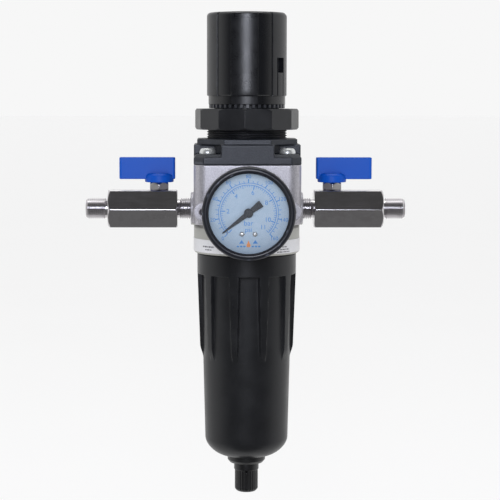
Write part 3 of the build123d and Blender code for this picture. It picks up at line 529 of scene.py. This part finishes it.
def makeKnob():
    look = knobLook
    top, bottom, radius = look["top"], look["bottom"], look["radius"]
    sill, lintel = look["windowLow"], look["windowHigh"]
    windowRows = [sill - 0.02, sill + 0.12, lintel - 0.12, lintel + 0.02]
    side = [(radius, z) for z in (look["ringTop"] + 0.5, 30, 34, 38, *windowRows, 56, 61, 66, 71)]
    rim = [(radius, top - 4.0), (radius, top - 3.85), (radius, top - 2.8)]
    for step in range(9):
        a = radians(90 * step / 8)
        rim.append((radius - look["rimRound"] * (1 - cos(a)), top - look["rimRound"] * (1 - sin(a))))
    outline = roundOff([(look["bore"], bottom), (look["ring"], bottom), (look["ring"], look["ringTop"] - 0.1),
                        (radius - 0.3, look["ringTop"])], 0.4)
    outline += side + rim
    outline += [(18, top), (9.0, top), (8.6, top - 0.25), (8.2, top - 0.25), (7.8, top), (0.0, top)]
    outline += [(0.0, top - look["roof"]), (look["bore"], top - look["roof"])]
    knob = spin("knobShell", "knob", "black_nylon", outline, angles=720, shape=knobShape, smooth=32)
    # the flute mask: smoother flutes, and painted shade in them, through the finish
    spots = np.array([point.co for point in knob.data.vertices])
    turn = np.degrees(np.arctan2(spots[:, 0], -spots[:, 1]))
    sunk = knob.data.attributes.new("sunk", "FLOAT", "POINT")
    sunk.data.foreach_set("value", inFlute(turn).astype(np.float32))
    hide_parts("knob")
    hub = roundOff([(look["hubBore"], look["hubLow"]), (look["hub"], look["hubLow"]), (look["hub"], look["hubTop"]),
                    (look["hubBore"], look["hubTop"])], 0.3, closed=True)
    spin("knobHub", "knob", "black_nylon", hub, angles=64)
    makeTeeth()


def makeTeeth():
    # the lock teeth under the rim
    look = knobLook
    points, faces = [], []
    low, high = look["bottom"] - 2.3, look["bottom"] + 0.4
    half = radians(look["toothSpan"] / 2)
    for tooth in range(look["teeth"]):
        middle = radians(look["firstTooth"] + tooth * 360 / look["teeth"])
        ring = []
        for inset, z in ((0.25, low), (0.0, low + 0.25), (0.0, high)):
            near, far = look["toothInner"] + inset, look["toothOuter"] - inset
            for r, a in ((near, -half), (far, -half), (far, half), (near, half)):
                turned = middle + a * (1 - inset / 1.2)
                ring.append((r * sin(turned), -r * cos(turned), z))
        start = len(points)
        points += ring
        faces.append([start, start + 1, start + 2, start + 3])
        for level in (0, 4):
            for corner in range(4):
                nextCorner = (corner + 1) % 4
                faces.append([start + level + corner, start + level + nextCorner,
                              start + level + 4 + nextCorner, start + level + 4 + corner])
    makePiece("knobTeeth", "knob", "black_nylon", points, faces)


makeKnob()
print("knob made")


# ---- panel nut
nutLook = {"cornerRadius": 32.4, "sides": 12, "low": 5.7, "high": 18.6, "chamfer": 0.9, "chamferHeight": 1.2,
           "rounding": 0.45, "firstFlat": 11.8, "bore": 25.2}


def makePanelNut():
    look = nutLook
    across = 2 * look["cornerRadius"] * cos(pi / look["sides"]) + 0.05
    low, high, corner, bore = look["low"], look["high"], look["cornerRadius"], look["bore"]
    chamfer, rise = look["chamfer"], look["chamferHeight"]
    shares = (0.15, 0.3, 0.45, 0.6, 0.75, 0.9)
    beyond = 40  # outside the flats, so that they cut it
    outline = [(bore, low), (27.5, low), (corner - chamfer, low)]
    outline += [(corner - chamfer * (1 - t), low + rise * t) for t in shares]
    outline += [(beyond, low + z) for z in (rise, 1.6, 2.4, 3.2)] + [(beyond, (low + high) / 2)]
    outline += [(beyond, high - z) for z in (3.2, 2.4, 1.6, rise)]
    outline += [(corner - chamfer * (1 - t), high - rise * t) for t in reversed(shares)]
    outline += [(corner - chamfer, high), (27.5, high), (bore + 0.7, high), (bore, high - 0.6), (bore, low + 0.6)]

    angles = cornerAngles(look["sides"], look["firstFlat"], (0, 0.12, 0.24, 0.36, 0.5, 0.8, 1.5, 3, 6, 10))
    cut = flats(look["sides"], across, look["rounding"], look["firstFlat"], 28, 0.15)
    nut = spin("panelNut", "housing", "black_nut", outline, angles=angles, shape=cut, smooth=50)
    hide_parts("panel_nut")


makePanelNut()
print("panel nut made")


# ---- bonnet: casting, threaded neck and screws
neckLook = {"crest": 25.0, "root": 24.1, "pitch": 1.5, "top": 18.5, "slots": 40, "slotSpan": 5.6, "slotDepth": 2.9,
            "tube": 20.0, "tubeBore": 17.4, "tubeTop": 56.0, "screwHole": 5.2, "cut": -0.4}


def wave(turns):
    # thread section, 0 at the root and 1 at the crest
    return np.clip((np.abs(2 * (turns % 1.0) - 1) - 0.14) / 0.66, 0, 1)


def neckShape(radius, height, turn):
    look = neckLook
    cut = wave(height / look["pitch"] - turn / 360) * (look["crest"] - look["root"]) + look["root"]
    threaded = (radius > 24.9) & (height > 0.1) & (height < look["top"] - look["slotDepth"] - 0.1)
    radius = np.where(threaded, cut, radius)
    between = np.abs(off(turn * look["slots"] % 360, 0)) < look["slotSpan"] * look["slots"] / 2
    sunk = between & (height > look["top"] - 0.7) & (radius > 21.5)
    return radius, np.where(sunk, look["top"] - look["slotDepth"], height)


def makeNeck():
    look = neckLook
    top, crest, tube, roof = look["top"], look["crest"], look["tube"], look["tubeTop"]
    row = look["pitch"] / 12
    outline = [(crest, look["cut"])] + [(crest, 0.2 + row * n) for n in range(int((top - 3.1) / row))]
    outline += [(crest, top - 2.85), (crest, top - 0.6), (crest - 0.6, top), (21.6, top), (21.4, top)]
    outline += [(tube, top - 0.1), (tube, roof - 0.6), (tube - 0.6, roof), (look["screwHole"], roof)]
    outline += [(look["screwHole"], roof - 3.0), (look["tubeBore"], roof - 4.0), (look["tubeBore"], look["cut"])]
    # the neck takes the darker slate copy, painted shade under the nut
    spin("bonnetNeck", "housing", "neckSlate", outline, angles=360, shape=neckShape, smooth=50, weighted=False,
         slot="slate_casting")


screwLook = {"spacing": 48.8, "low": -8.9, "high": -5.2, "radius": 5.0, "crossHalf": 0.55, "crossReach": 2.7,
             "crossDepth": 1.7, "turns": (22, 65, 5, 50)}


def makeBonnetScrews():
    look = screwLook
    low, high, radius = look["low"], look["high"], look["radius"]
    head = roundOff([(0.0, low), (radius - 0.2, low), (radius, low + 0.3, 0.2), (radius, low + 1.5, 1.0),
                     (4.2, high - 0.45, 1.2), (2.9, high, 1.2), (0.0, high + 0.02, 0)], 0.2, 5)
    head = finer(head, 0.28)
    half = look["spacing"] / 2
    places = [(-half, -half), (half, -half), (-half, half), (half, half)]
    for number, ((x, y), turned) in enumerate(zip(places, look["turns"]), 1):
        def crossed(radius, height, turn, turned=turned):
            a = np.radians(turn + turned)
            across, along = np.abs(radius * np.sin(a)), np.abs(radius * np.cos(a))
            near, far = np.minimum(across, along), np.maximum(across, along)
            narrow = 1 - ramp(near, look["crossHalf"] - 0.15, look["crossHalf"] + 0.15)
            sunk = narrow * (1 - ramp(far, look["crossReach"] - 0.5, look["crossReach"]))
            return radius, height - np.where(height > low + 1.4, sunk * look["crossDepth"], 0)
        screw = spin(f"bonnetScrew{number}", "housing", "zinc_steel", head, angles=120, shape=crossed,
                     centre=(x, y), smooth=34, closed=False)
        if number == 1:
            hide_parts("bonnet_screws")


castCopy("bonnetCasting", "bonnet", "slate_casting", 0.4, below=0.3)
makeNeck()
makeBonnetScrews()
print("bonnet made")

# ---- body casting
castCopy("bodyCasting", "body", "silver_casting", 0.42)
print("body made")


# ---- label: small generic print bars, bent round the skirt
labelLook = {"radius": 33.46, "top": -65.7, "lineStep": 1.5, "dashes": (2.2, 3.6, 1.4, 2.8), "gap": 0.8,
             "lines": [(-55, -38, 0, 0.9), (-51, -41, 1.3, 0.7), (40, 47, 0, 0.6), (37, 50.5, 1, 0.7),
                       (33, 51, 2, 0.7)]}  # from angle, to angle, row, letter height


def makeLabelPrint():
    look = labelLook
    points, faces = [], []
    for start, high, row, height in look["lines"]:
        top = look["top"] - row * look["lineStep"]
        for dash in cycle(look["dashes"]):
            if start >= high:
                break
            end = min(start + dash, high)
            base = len(points)
            for step in range(4):
                a = radians(start + (end - start) * step / 3)
                points += [(look["radius"] * sin(a), -look["radius"] * cos(a), z) for z in (top, top - height)]
            faces += [[base + 2 * s, base + 2 * s + 1, base + 2 * s + 3, base + 2 * s + 2] for s in range(3)]
            start = end + look["gap"]
    makePiece("labelPrint", "housing", "printGrey", points, faces, weighted=False, slot="label_film")


makeLabelPrint()


# ---- bowl
bowlLook = {"band": 31.1, "bandTop": -71.9, "bandLow": -84.6, "wallTop": 28.2, "wallRibEnd": 27.4, "wallLow": 26.2,
            "ribs": 10, "firstRib": 20.0, "ribHalfTop": 3.0, "ribHalfLow": 1.8, "ribTip": 29.5,
            "ribSlope": -130.0, "ribEnd": -139.0, "domeTop": -189.5, "bottom": -201.2, "floor": 12.5}


def bowlShape(radius, height, turn):
    look = bowlLook
    along = np.clip((look["bandLow"] - height) / (look["bandLow"] - look["ribEnd"]), 0, 1)
    half = look["ribHalfTop"] + (look["ribHalfLow"] - look["ribHalfTop"]) * along
    away = np.full_like(radius, 99.0)
    for rib in range(look["ribs"]):
        away = np.minimum(away, np.abs(off(turn, look["firstRib"] + rib * 360 / look["ribs"])))
    across = np.radians(away) * radius
    on = 1 - ramp(across, half - 0.28, half + 0.22)
    foot = np.exp(-np.maximum(across - half, 0) / 0.5) * 0.25
    tip = look["band"] - 0.05 + (look["ribTip"] - look["band"]) * np.clip(
        (look["bandLow"] - height) / (look["bandLow"] - look["ribSlope"]), 0, 1)
    slope = ramp(height, look["ribEnd"] + 0.2, look["ribSlope"] + 0.3)
    tip = radius + (tip - radius) * slope
    ribbed = (height < look["bandLow"] + 0.6) & (height > look["ribEnd"]) & (radius > 25)
    raised = np.maximum(radius, radius + (tip - radius) * np.maximum(on, foot))
    return np.where(ribbed, raised, radius), height


def makeBowl():
    look = bowlLook
    band, top, low = look["band"], look["bandTop"], look["bandLow"]
    outline = roundOff([(26.6, top + 9.0), (28.9, top + 9.2), (28.9, top, 0.1), (band, top, 0.5), (band, low, 0.55),
                        (look["wallTop"] + 0.05, low - 0.05, 0.5), (look["wallTop"] - 0.03, low - 2.2)], 0.4, 4)
    wall = finer([(look["wallTop"] - 0.03, low - 2.2), (look["wallRibEnd"] + 0.1, look["ribSlope"] + 1.5)], 2.5)[1:]
    wall += finer([wall[-1], (look["wallRibEnd"], look["ribEnd"] - 0.6)], 0.6)[1:]
    wall += finer([wall[-1], (look["wallLow"], look["domeTop"])], 5)[1:]
    guides = np.array([(look["wallLow"], look["domeTop"]), (look["wallLow"] - 0.5, look["domeTop"] - 5.5),
                       (19.0, look["bottom"] + 0.6), (look["floor"], look["bottom"])])
    dome = []
    for step in range(1, 15):
        t = step / 14
        weights = np.array([(1 - t) ** 3, 3 * (1 - t) ** 2 * t, 3 * (1 - t) * t ** 2, t ** 3])
        dome.append(tuple(weights @ guides))
    inner = [(5.2, look["bottom"]), (5.2, look["bottom"] + 2.8), (12.0, look["bottom"] + 2.8), (20.6, -195.2),
             (23.8, -189.5), (25.0, -139), (25.8, low), (26.6, top - 5)]
    bowl = spin("bowlShell", "bowl", "black_bowl", outline + wall + dome + inner, angles=720, shape=bowlShape, smooth=45)
    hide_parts("bowl")


makeBowl()
print("bowl made")


# ---- drain collar and knob
drainLook = {"collar": 12.0, "collarTop": -201.2, "collarLow": -206.0, "collarBore": 5.2,
             "knob": 7.85, "grip": 7.5, "knobTop": -206.5, "knobLow": -224.7,
             "flutes": 24, "fluteDepth": 0.2, "dimpleDepth": 1.0}


def drainShape(radius, height, turn):
    look = drainLook
    outside = radius > 6.0
    fluted = outside & (height < look["knobTop"] - 4.3) & (height > look["knobLow"] + 1.2)
    cut = np.clip(np.cos(np.radians(turn * look["flutes"])) * 0.9, -0.2, 1) * look["fluteDepth"] + 0.16
    changed = np.where(fluted, radius - cut, radius)
    fromDimple = np.hypot(np.radians(off(turn, 0)) * 7.8, height - (look["knobTop"] - 4.7))
    dimple = look["dimpleDepth"] * (1 - ramp(fromDimple, 0.5, 0.95))
    return np.where(outside, changed - dimple, changed), height


def makeDrain():
    look = drainLook
    width, bore, base = look["collar"], look["collarBore"], look["collarLow"]
    collar = roundOff([(bore, look["collarTop"]), (width, look["collarTop"]), (width, base + 1.9),
                       (width - 1.6, base), (bore, base)], 0.35, 4, closed=True)
    ring = spin("drainCollar", "bowl", "black_acetal", collar, angles=96)
    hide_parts("drain_collar")
    top, low, grip = look["knobTop"], look["knobLow"], look["grip"]
    outline = roundOff([(5.1, top), (look["knob"], top, 0.4), (look["knob"], top - 3.9, 0.25),
                        (grip, top - 4.3, 0.15), (grip, low + 1.6, 0.5), (5.9, low, 0.3), (1.5, low, 0.2),
                        (1.5, -220), (5.1, -215.5)], 0.3, 4, closed=True)
    outline = finer(outline, 0.55)
    knob = spin("drainKnob", "drain_knob", "black_acetal", outline, angles=360, shape=drainShape, smooth=45)
    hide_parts("drain_knob")


makeDrain()
print("drain made")


# ---- gauge
gaugeLook = {"bezel": 27.8, "window": 23.65, "bezelFront": 67.0, "case": 26.0, "caseBack": 41.0, "caseFront": 63.0,
             "caseWall": 0.9, "stem": 6.1, "dial": 57.4, "print": 57.43, "needle": 59.2, "rest": 217.6,
             "needleLength": 19.9, "needleTail": 9.5}


def makeGaugeHousing():
    look = gaugeLook
    case, back, front, wall = look["case"], look["caseBack"], look["caseFront"], look["caseWall"]
    cup = roundOff([(look["stem"], back), (case - 0.02, back, 1.3), (case - 0.02, front, 0.1),
                    (case - wall, front, 0.1), (case - wall, back + wall, 0.8), (look["stem"], back + wall)],
                   0.1, 5, closed=True)
    caseCup = spin("gaugeCase", "housing", "bezel_black", cup, angles=160, place=gaugeFace)
    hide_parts("gauge_case")
    bezel, face, rear = look["bezel"], look["bezelFront"], front - 5
    rim = roundOff([(case + 0.05, rear), (bezel - 0.3, rear, 0.4), (bezel, rear + 0.8, 0.4), (bezel, face - 1.3, 0.9),
                    (bezel - 1.3, face, 1.0), (look["window"] + 1.1, face, 0.7), (look["window"], face - 1.1, 0.4),
                    (look["window"], front + 2.1, 0.1), (case + 0.05, front + 2.1, 0.1)], 0.1, 6, closed=True)
    ring = spin("gaugeBezel", "housing", "bezel_black", rim, angles=192, place=gaugeFace)
    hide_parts("gauge_bezel")


def flatShapes(name, finishName, shapes):
    # thin printed shapes on the dial; each is a list of (x, y)
    points, faces = [], []
    for shape in shapes:
        start = len(points)
        points += [(x, y, gaugeLook["print"]) for x, y in shape]
        faces.append(list(range(start, start + len(shape))))
    placed = gaugeFace(np.array(points, float))
    makePiece(name, "housing", finishName, placed, faces, weighted=False, slot="dial_face")


def bar(angle, inner, outer, width):
    # radial mark; angle is anticlockwise from the right
    a = radians(angle)
    out, side = np.array([cos(a), sin(a)]), np.array([-sin(a), cos(a)]) * width / 2
    corners = [out * inner - side, out * outer - side, out * outer + side, out * inner + side]
    return [tuple(corner) for corner in corners]


def scaleRing(radius):
    # the line that a scale's marks stand on, in short pieces
    inner, outer = radius - dialLook["line"] / 2, radius + dialLook["line"] / 2
    low, step = dialLook["start"] - dialLook["sweep"], 3.0
    marks = []
    for n in range(int(dialLook["sweep"] / step)):
        a, b = radians(low + n * step), radians(low + (n + 1) * step)
        marks.append([(inner * cos(a), inner * sin(a)), (outer * cos(a), outer * sin(a)),
                      (outer * cos(b), outer * sin(b)), (inner * cos(b), inner * sin(b))])
    return marks


def words(name, entries):
    # numerals set upright on the dial; entries are (text, x, y, size)
    joined = bmesh.new()
    for text, x, y, size in entries:
        curve = bpy.data.curves.new("numeral", "FONT")
        curve.body = text
        curve.size = size
        curve.align_x, curve.align_y = "CENTER", "CENTER"
        curve.resolution_u = 3
        mesh = takenOff(inScene("numeral", curve))
        mesh.transform(Matrix.Translation((x, y, gaugeLook["print"])))
        joined.from_mesh(mesh)
    mesh = bpy.data.meshes.new(name)
    joined.to_mesh(mesh)
    joined.free()
    turned = Matrix(((1, 0, 0, 0), (0, 0, -1, 0), (0, 1, 0, gaugeHeight), (0, 0, 0, 1)))
    mesh.transform(Matrix.Scale(mm, 4) @ turned)
    addPiece(name, "housing", "printBlue", mesh, weighted=False, slot="dial_face")


dialLook = {"start": 225.0, "sweep": 270.0, "full": 160, "fullBar": 11.03, "line": 0.34,
            "outerRing": 17.8, "innerRing": 16.6, "numerals": 21.6, "innerNumerals": 12.2,
            "numeralSize": 3.2, "innerNumeralSize": 3.8, "units": [("bar", 0, -6.2, 4.3), ("psi", 0, -10.1, 3.9)]}


def dialAngle(share):
    return dialLook["start"] - dialLook["sweep"] * share


def makeDialPrint():
    look = dialLook
    outer, inner = look["outerRing"], look["innerRing"]
    shapes = scaleRing(outer) + scaleRing(inner)
    for value in range(0, look["full"] + 1, 5):
        long = value % 20 == 0
        reach = outer + (2.4 if long else 1.9 if value % 10 == 0 else 1.4)
        shapes.append(bar(dialAngle(value / look["full"]), outer, reach, 0.55 if long else 0.32))
    for tenth in range(0, 111, 2):
        long = tenth % 20 == 0
        reach = inner - (2.5 if long else 1.9 if tenth % 10 == 0 else 1.3)
        shapes.append(bar(dialAngle(tenth / 10 / look["fullBar"]), reach, inner, 0.55 if long else 0.3))
    flatShapes("dialScale", "printBlue", shapes)
    entries = []
    for value in range(0, look["full"] + 1, 20):
        a = radians(dialAngle(value / look["full"]))
        entries.append((str(value), look["numerals"] * cos(a), look["numerals"] * sin(a), look["numeralSize"]))
    for value in (2, 4, 6, 8, 10, 11):
        a = radians(dialAngle(value / look["fullBar"]))
        spot = look["innerNumerals"] * cos(a), look["innerNumerals"] * sin(a)
        entries.append((str(value), *spot, look["innerNumeralSize"]))
    words("dialNumerals", entries + look["units"])
    marks = [[(x - 1.6, -18.3), (x + 1.6, -18.3), (x, -16.1)] for x in (-4.1, 4.1)]  # two small triangles
    for x in (-6.9, -5.0, -3.1, 1.9, 3.8, 5.7):  # a row of short bars below them
        marks.append([(x, -20.4), (x + 1.3, -20.4), (x + 1.3, -19.6), (x, -19.6)])
    flatShapes("dialMarks", "printBlue", marks)
    drop = [(0.0, -16.4), (-0.7, -18.0), (-1.3, -19.3), (-0.8, -20.4), (0.8, -20.4), (1.3, -19.3), (0.7, -18.0)]
    flatShapes("dialDrop", "printOrange", [drop])


def makePointer():
    look = gaugeLook
    tail, tip, low = -look["needleTail"], look["needleLength"], look["needle"]
    edge = [(tail, -2.1), (tail + 0.5, -2.25), (-2.2, -1.5), (0, -1.6), (2.4, -1.5), (tip - 0.5, -0.36), (tip, 0.0)]
    edge += [(x, -y) for x, y in reversed(edge[:-1])]
    points, faces = [], []
    for inset, z in ((0.0, low), (0.0, low + 0.3), (0.12, low + 0.45)):
        for x, y in edge:
            points.append((x * (1 - inset / 12), y * (1 - inset), z))
    count = len(edge)
    for level in range(2):
        for n in range(count):
            m = (n + 1) % count
            faces.append([level * count + n, level * count + m, (level + 1) * count + m, (level + 1) * count + n])
    faces += [list(range(count)), list(range(2 * count, 3 * count))]
    a = radians(look["rest"])
    x, y, z = np.array(points, float).T
    turned = np.stack([x * cos(a) - y * sin(a), x * sin(a) + y * cos(a), z], axis=-1)
    blade = makePiece("pointerBlade", "pointer", "needle_black", gaugeFace(turned), faces)
    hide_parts("pointer")
    hub = roundOff([(0.0, low - 0.3), (2.8, low - 0.3), (2.8, low + 0.5, 0.4), (1.6, low + 0.85, 0.5),
                    (0.0, low + 0.9)], 0.1, 5)
    spin("pointerHub", "pointer", "needle_black", hub, angles=64, place=gaugeFace)


dialHardware = {"screwSide": 3.85, "screwDown": 12.7, "stopRadius": 17.1, "stopTurn": 5.4, "stopHalf": 0.36}


def belowCentre(points):
    # the dial's screws are drawn as if above its centre, then turned over
    return gaugeFace(points * np.array([1.0, -1.0, 1.0]))


def makeDialHardware():
    look, level = dialHardware, gaugeLook["dial"]
    head = roundOff([(0.0, level + 0.02), (1.4, level + 0.02), (1.45, level + 0.5, 0.3), (0.7, level + 0.88, 0.5),
                     (0.0, level + 0.9)], 0.1, 4)
    for label, x in (("Left", -look["screwSide"]), ("Right", look["screwSide"])):
        screw = spin("dialScrew" + label, "housing", "zinc_steel", head, angles=40,
                     centre=(x, look["screwDown"]), place=belowCentre)
        if label == "Left":
            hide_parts("dial_screws")
    a = radians(gaugeLook["rest"] + look["stopTurn"])
    half, spot = look["stopHalf"], (look["stopRadius"] * cos(a), look["stopRadius"] * sin(a))
    pin = roundOff([(0.0, level), (half, level), (half, level + 2.6, 0.2), (0.0, level + 2.7)], 0.1, 4)
    stop = spin("stopPin", "housing", "zinc_steel", pin, angles=24, centre=spot, place=gaugeFace)
    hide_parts("stop_pin")


makeGaugeHousing()
makeDialPrint()
makePointer()
makeDialHardware()
print("gauge made")


# ---- shut-off valves
valveLook = {"across": 23.2, "length": 43.4, "rounding": 0.8, "bore": 4.5, "stem": 11.4,
             "crest": 6.58, "root": 5.8, "pitch": 1.337, "innerStub": 14.0, "outerStub": 13.8}


def threadShape(start, end, lead):
    # cuts the thread between two heights; it fades out at the lead end
    look = valveLook

    def shape(radius, height, turn):
        cut = wave(height / look["pitch"] - turn / 360) * (look["crest"] - look["root"]) + look["root"]
        cut = np.minimum(cut, look["root"] - 0.5 + np.abs(height - lead) * 0.9)
        threaded = (radius > look["crest"] - 0.01) & (height > start) & (height < end)
        return np.where(threaded, cut, radius), height
    return shape


def makeValve(side):
    look = valveLook
    place = valvePlace(side)
    label = side.capitalize()
    length, bore, root = look["length"], look["bore"], look["root"]
    corner = look["across"] / 2 / cos(pi / 6)
    outline = [(bore, 0.0), (8.0, 0.0), (corner - 1.2, 0.0)]
    outline += [(corner - 1.2 + 1.3 * t, 0.9 * t) for t in (0.12, 0.25, 0.4, 0.55, 0.7, 0.85)]
    along = (0.95, 1.3, 2.0, 4.0, 12.0, 24.0, 34.0, length - 4, length - 2.6, length - 2.0, length - 1.7)
    outline += [(20, x) for x in along]  # outside the flats, so that they cut it
    outline += [(corner + 0.1 - 2.1 * t, length - 1.6 * (1 - t)) for t in (0.1, 0.25, 0.4, 0.55, 0.7, 0.85)]
    outline += [(corner - 2.0, length), (8.7, length), (8.4, length - 0.3), (8.4, length - 2.0), (bore, length - 2.0)]

    angles = cornerAngles(6, 0.0, (0, 0.35, 0.7, 1.05, 1.4, 1.8, 2.2, 2.8, 3.6, 5, 7, 10, 14, 20))
    cut = flats(6, look["across"], look["rounding"], 0.0, 9.5, 0.3)
    block = spin("valve" + label + "Hexagon", "housing", "chrome", outline, angles=angles, shape=cut,
                 axis="x", place=place, smooth=50)
    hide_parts(side + "_valve_body")
    stub = [(bore, 1.0), (root, 1.0), (root, -1.6)]
    stub += [(look["crest"], -2.0 - 0.1 * n) for n in range(int((look["innerStub"] - 2.1) / 0.1))]
    stub += [(root - 0.3, -look["innerStub"]), (bore, -look["innerStub"])]
    spin("valve" + label + "InnerThread", "housing", "chrome", stub, angles=96, axis="x", place=place, smooth=60,
         shape=threadShape(-look["innerStub"], -1.8, -look["innerStub"]), weighted=False)
    end = length + look["outerStub"]
    tube = [(bore, length - 3.0), (8.3, length - 3.0), (8.3, length - 0.8), (root, length - 0.8),
            (root, length + 1.6)]
    tube += [(look["crest"], length + 1.8 + 0.1 * n) for n in range(int((look["outerStub"] - 1.9) / 0.1))]
    tube += [(root - 0.2, end), (bore + 0.3, end), (bore, end - 0.3)]
    insert = spin("valve" + label + "Insert", "housing", "chrome", tube, angles=96, axis="x", place=place, smooth=60,
                  shape=threadShape(length + 1.5, end, end), weighted=False)
    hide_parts(side + "_valve_insert")
    makeGland(label, place)
    makeHandle(label, side, place)


glandLook = {"bore": 3.3, "across": 11.6, "rounding": 0.4, "firstFlat": 30.0, "top": 16.5}


def makeGland(label, place):
    look = glandLook
    low, high, bore = valveLook["across"] / 2, look["top"], look["bore"]
    outline = [(bore, low), (5.6, low), (5.7, low + 0.02), (6.9, low + 0.7), (7.0, low + 1.1), (7.0, low + 3.4),
               (6.6, low + 4.1), (5.8, high), (bore + 0.2, high), (bore, high - 0.2)]

    angles = cornerAngles(6, look["firstFlat"], (0, 0.8, 1.6, 2.4, 3.4, 5, 8, 12, 18))
    cut = flats(6, look["across"], look["rounding"], look["firstFlat"], 5.0, 0.2)
    nut = spin("glandNut" + label, "housing", "chrome", outline, angles=angles, shape=cut, smooth=45,
               centre=(valveLook["stem"], 0), place=place)
    if label == "Left":
        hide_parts("gland_nuts")


handleLook = {"low": 18.6, "top": 32.2, "out": 24.9, "in": 10.0, "half": 3.5, "corner": 1.5, "edge": 0.6,
              "hubLow": 16.7, "hubTop": 22.4, "hub": 9.0, "hubBore": 3.3}


def makeHandle(label, side, place):
    look = handleLook
    body = side + "_lever"
    form = bmesh.new()
    size = (look["out"] + look["in"], 2 * look["half"], look["top"] - look["low"])
    middle = ((look["out"] - look["in"]) / 2, 0, (look["top"] + look["low"]) / 2)
    bmesh.ops.create_cube(form, size=1.0, matrix=Matrix.Translation(middle) @ Matrix.Diagonal((*size, 1)))
    standing = [e for e in form.edges if abs(e.verts[0].co.z - e.verts[1].co.z) > 1]
    bmesh.ops.bevel(form, geom=standing, offset=look["corner"], segments=5, profile=0.5, affect="EDGES")
    ends = [e for e in form.edges if abs(e.verts[0].co.z - e.verts[1].co.z) < 0.01 and len(e.link_faces) == 2
            and abs(e.link_faces[0].normal.z - e.link_faces[1].normal.z) > 0.5]
    bmesh.ops.bevel(form, geom=ends, offset=look["edge"], segments=3, profile=0.5, affect="EDGES")
    points = np.array([tuple(v.co) for v in form.verts]) + np.array([valveLook["stem"], 0, 0])
    form.verts.index_update()
    faces = [[v.index for v in f.verts] for f in form.faces]
    form.free()
    blade = makePiece("handle" + label, body, "blue_nylon", place(points), faces, smooth=50)
    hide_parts(side + "_handle")
    hub, bore, low, top = look["hub"], look["hubBore"], look["hubLow"], look["hubTop"]
    outline = roundOff([(bore, low), (hub, low, 0.5), (hub, top - 1.6, 0.6), (hub - 1.8, top, 0.6), (bore, top)],
                       0.3, 4, closed=True)
    spin("handleHub" + label, body, "blue_nylon", outline, angles=96, centre=(valveLook["stem"], 0), place=place)


for valveSide in ("left", "right"):
    makeValve(valveSide)
print("valves made")


# ---- every other CAD node keeps its shape and takes its own finish
for node, piece in frame["nodes"].items():
    for materialSlot in piece.material_slots:
        named = materialSlot.material.name.split(".")[0]
        if named in finishes:
            materialSlot.material = finishes[named].material
        else:
            print("no finish for", node, named)
print("carried-over nodes finished")


# ---- floor, light and camera
stageLook = {"floorHeight": -0.36, "radius": 30.0, "floor": (0.26, 0.26, 0.262), "cloud": (0.255, 0.255, 0.257),
             "glow": 0.69}


def makeStage():
    form = bmesh.new()
    bmesh.ops.create_circle(form, cap_ends=True, radius=stageLook["radius"], segments=96)
    mesh = bpy.data.meshes.new("floor")
    form.to_mesh(mesh)
    form.free()
    floor = inScene("floor", mesh)
    floor.location.z = stageLook["floorHeight"]
    finish = Finish("paleFloor", base=stageLook["floor"], roughness=0.9)
    patches = finish.noise(400, 2).within(0.3, 0.7)
    finish.feed("Base Color", finish.blend(patches, stageLook["floor"], stageLook["cloud"]))
    finish.shader.inputs["Emission Color"].default_value = (1, 1, 1, 1)
    finish.shader.inputs["Emission Strength"].default_value = stageLook["glow"]
    mesh.materials.append(finish.material)
    floor.visible_glossy = False


lightAim = Vector((0, 0, -0.06))
lightLook = {
    "front": {"at": (-0.06, -1.35, 0.25), "size": (0.40, 0.50), "power": 8.4, "colour": (0.86, 0.89, 1.0),
              "shine": True},
    "fill": {"at": (0.0, -1.6, 0.35), "size": (1.6, 1.2), "power": 6.4, "colour": (1, 1, 1), "shine": False},
    "top": {"at": (0.0, 0.25, 1.5), "size": (1.2, 0.8), "power": 8.0, "colour": (1, 1, 1), "shine": True},
}


def makeLights():
    for name, look in lightLook.items():
        lamp = bpy.data.lights.new(name, "AREA")
        lamp.shape = "RECTANGLE"
        lamp.size, lamp.size_y = look["size"]
        lamp.energy = look["power"]
        lamp.color = look["colour"]
        holder = inScene(name, lamp)
        holder.location = look["at"]
        holder.rotation_euler = (lightAim - Vector(look["at"])).to_track_quat("-Z", "Y").to_euler()
        holder.visible_glossy = look["shine"]
        holder.visible_camera = False


skyLook = {"around": 0.93, "frontHigh": 0.07, "frontLow": 0.17, "overhead": 0.75}


def makeSky():
    # white surroundings behind and beside, a darker room in front
    world = bpy.data.worlds.new("studio")
    bpy.context.scene.world = world
    sky = Shading(world, "Background")
    look = sky.add("TexCoord")
    x, y, z = (sky.add("SeparateXYZ", {}, {0: look}, out=index) for index in range(3))
    facing = y * -1 / (x * x + y * y + 0.0001) ** 0.5
    beside = 1 - facing.within(0.0, 0.74)
    front = z.within(-0.35, 0.15) * (skyLook["frontHigh"] - skyLook["frontLow"]) + skyLook["frontLow"]
    level = front + beside * (skyLook["around"] - front)
    level = level + z.within(0.9, 0.97) * (skyLook["overhead"] - level)
    sky.feed("Color", level)


cameraLook = {"distance": 1.010, "pitch": 5.5, "yaw": 1.2, "roll": 0.1, "aim": (0.0021, 0.0, -0.0703),
              "lens": 115.2, "sensor": 36.0}


def makeCamera():
    look = cameraLook
    camera = bpy.data.cameras.new("camera")
    camera.sensor_width = look["sensor"]
    camera.lens = look["lens"]
    camera.clip_start, camera.clip_end = 0.05, 100
    holder = inScene("camera", camera)
    aim = Vector(look["aim"])
    pitch, yaw = radians(look["pitch"]), radians(look["yaw"])
    back = Vector((-sin(yaw) * cos(pitch), -cos(yaw) * cos(pitch), sin(pitch)))
    holder.location = aim + back * look["distance"]
    level = (-back).to_track_quat("-Z", "Y")
    holder.rotation_mode = "QUATERNION"
    holder.rotation_quaternion = level @ Matrix.Rotation(radians(look["roll"]), 4, "Z").to_quaternion()
    bpy.context.scene.camera = holder


makeStage()
makeLights()
makeSky()
makeCamera()
bpy.context.scene.view_settings.view_transform = "Standard"
print("stage, light and camera made")
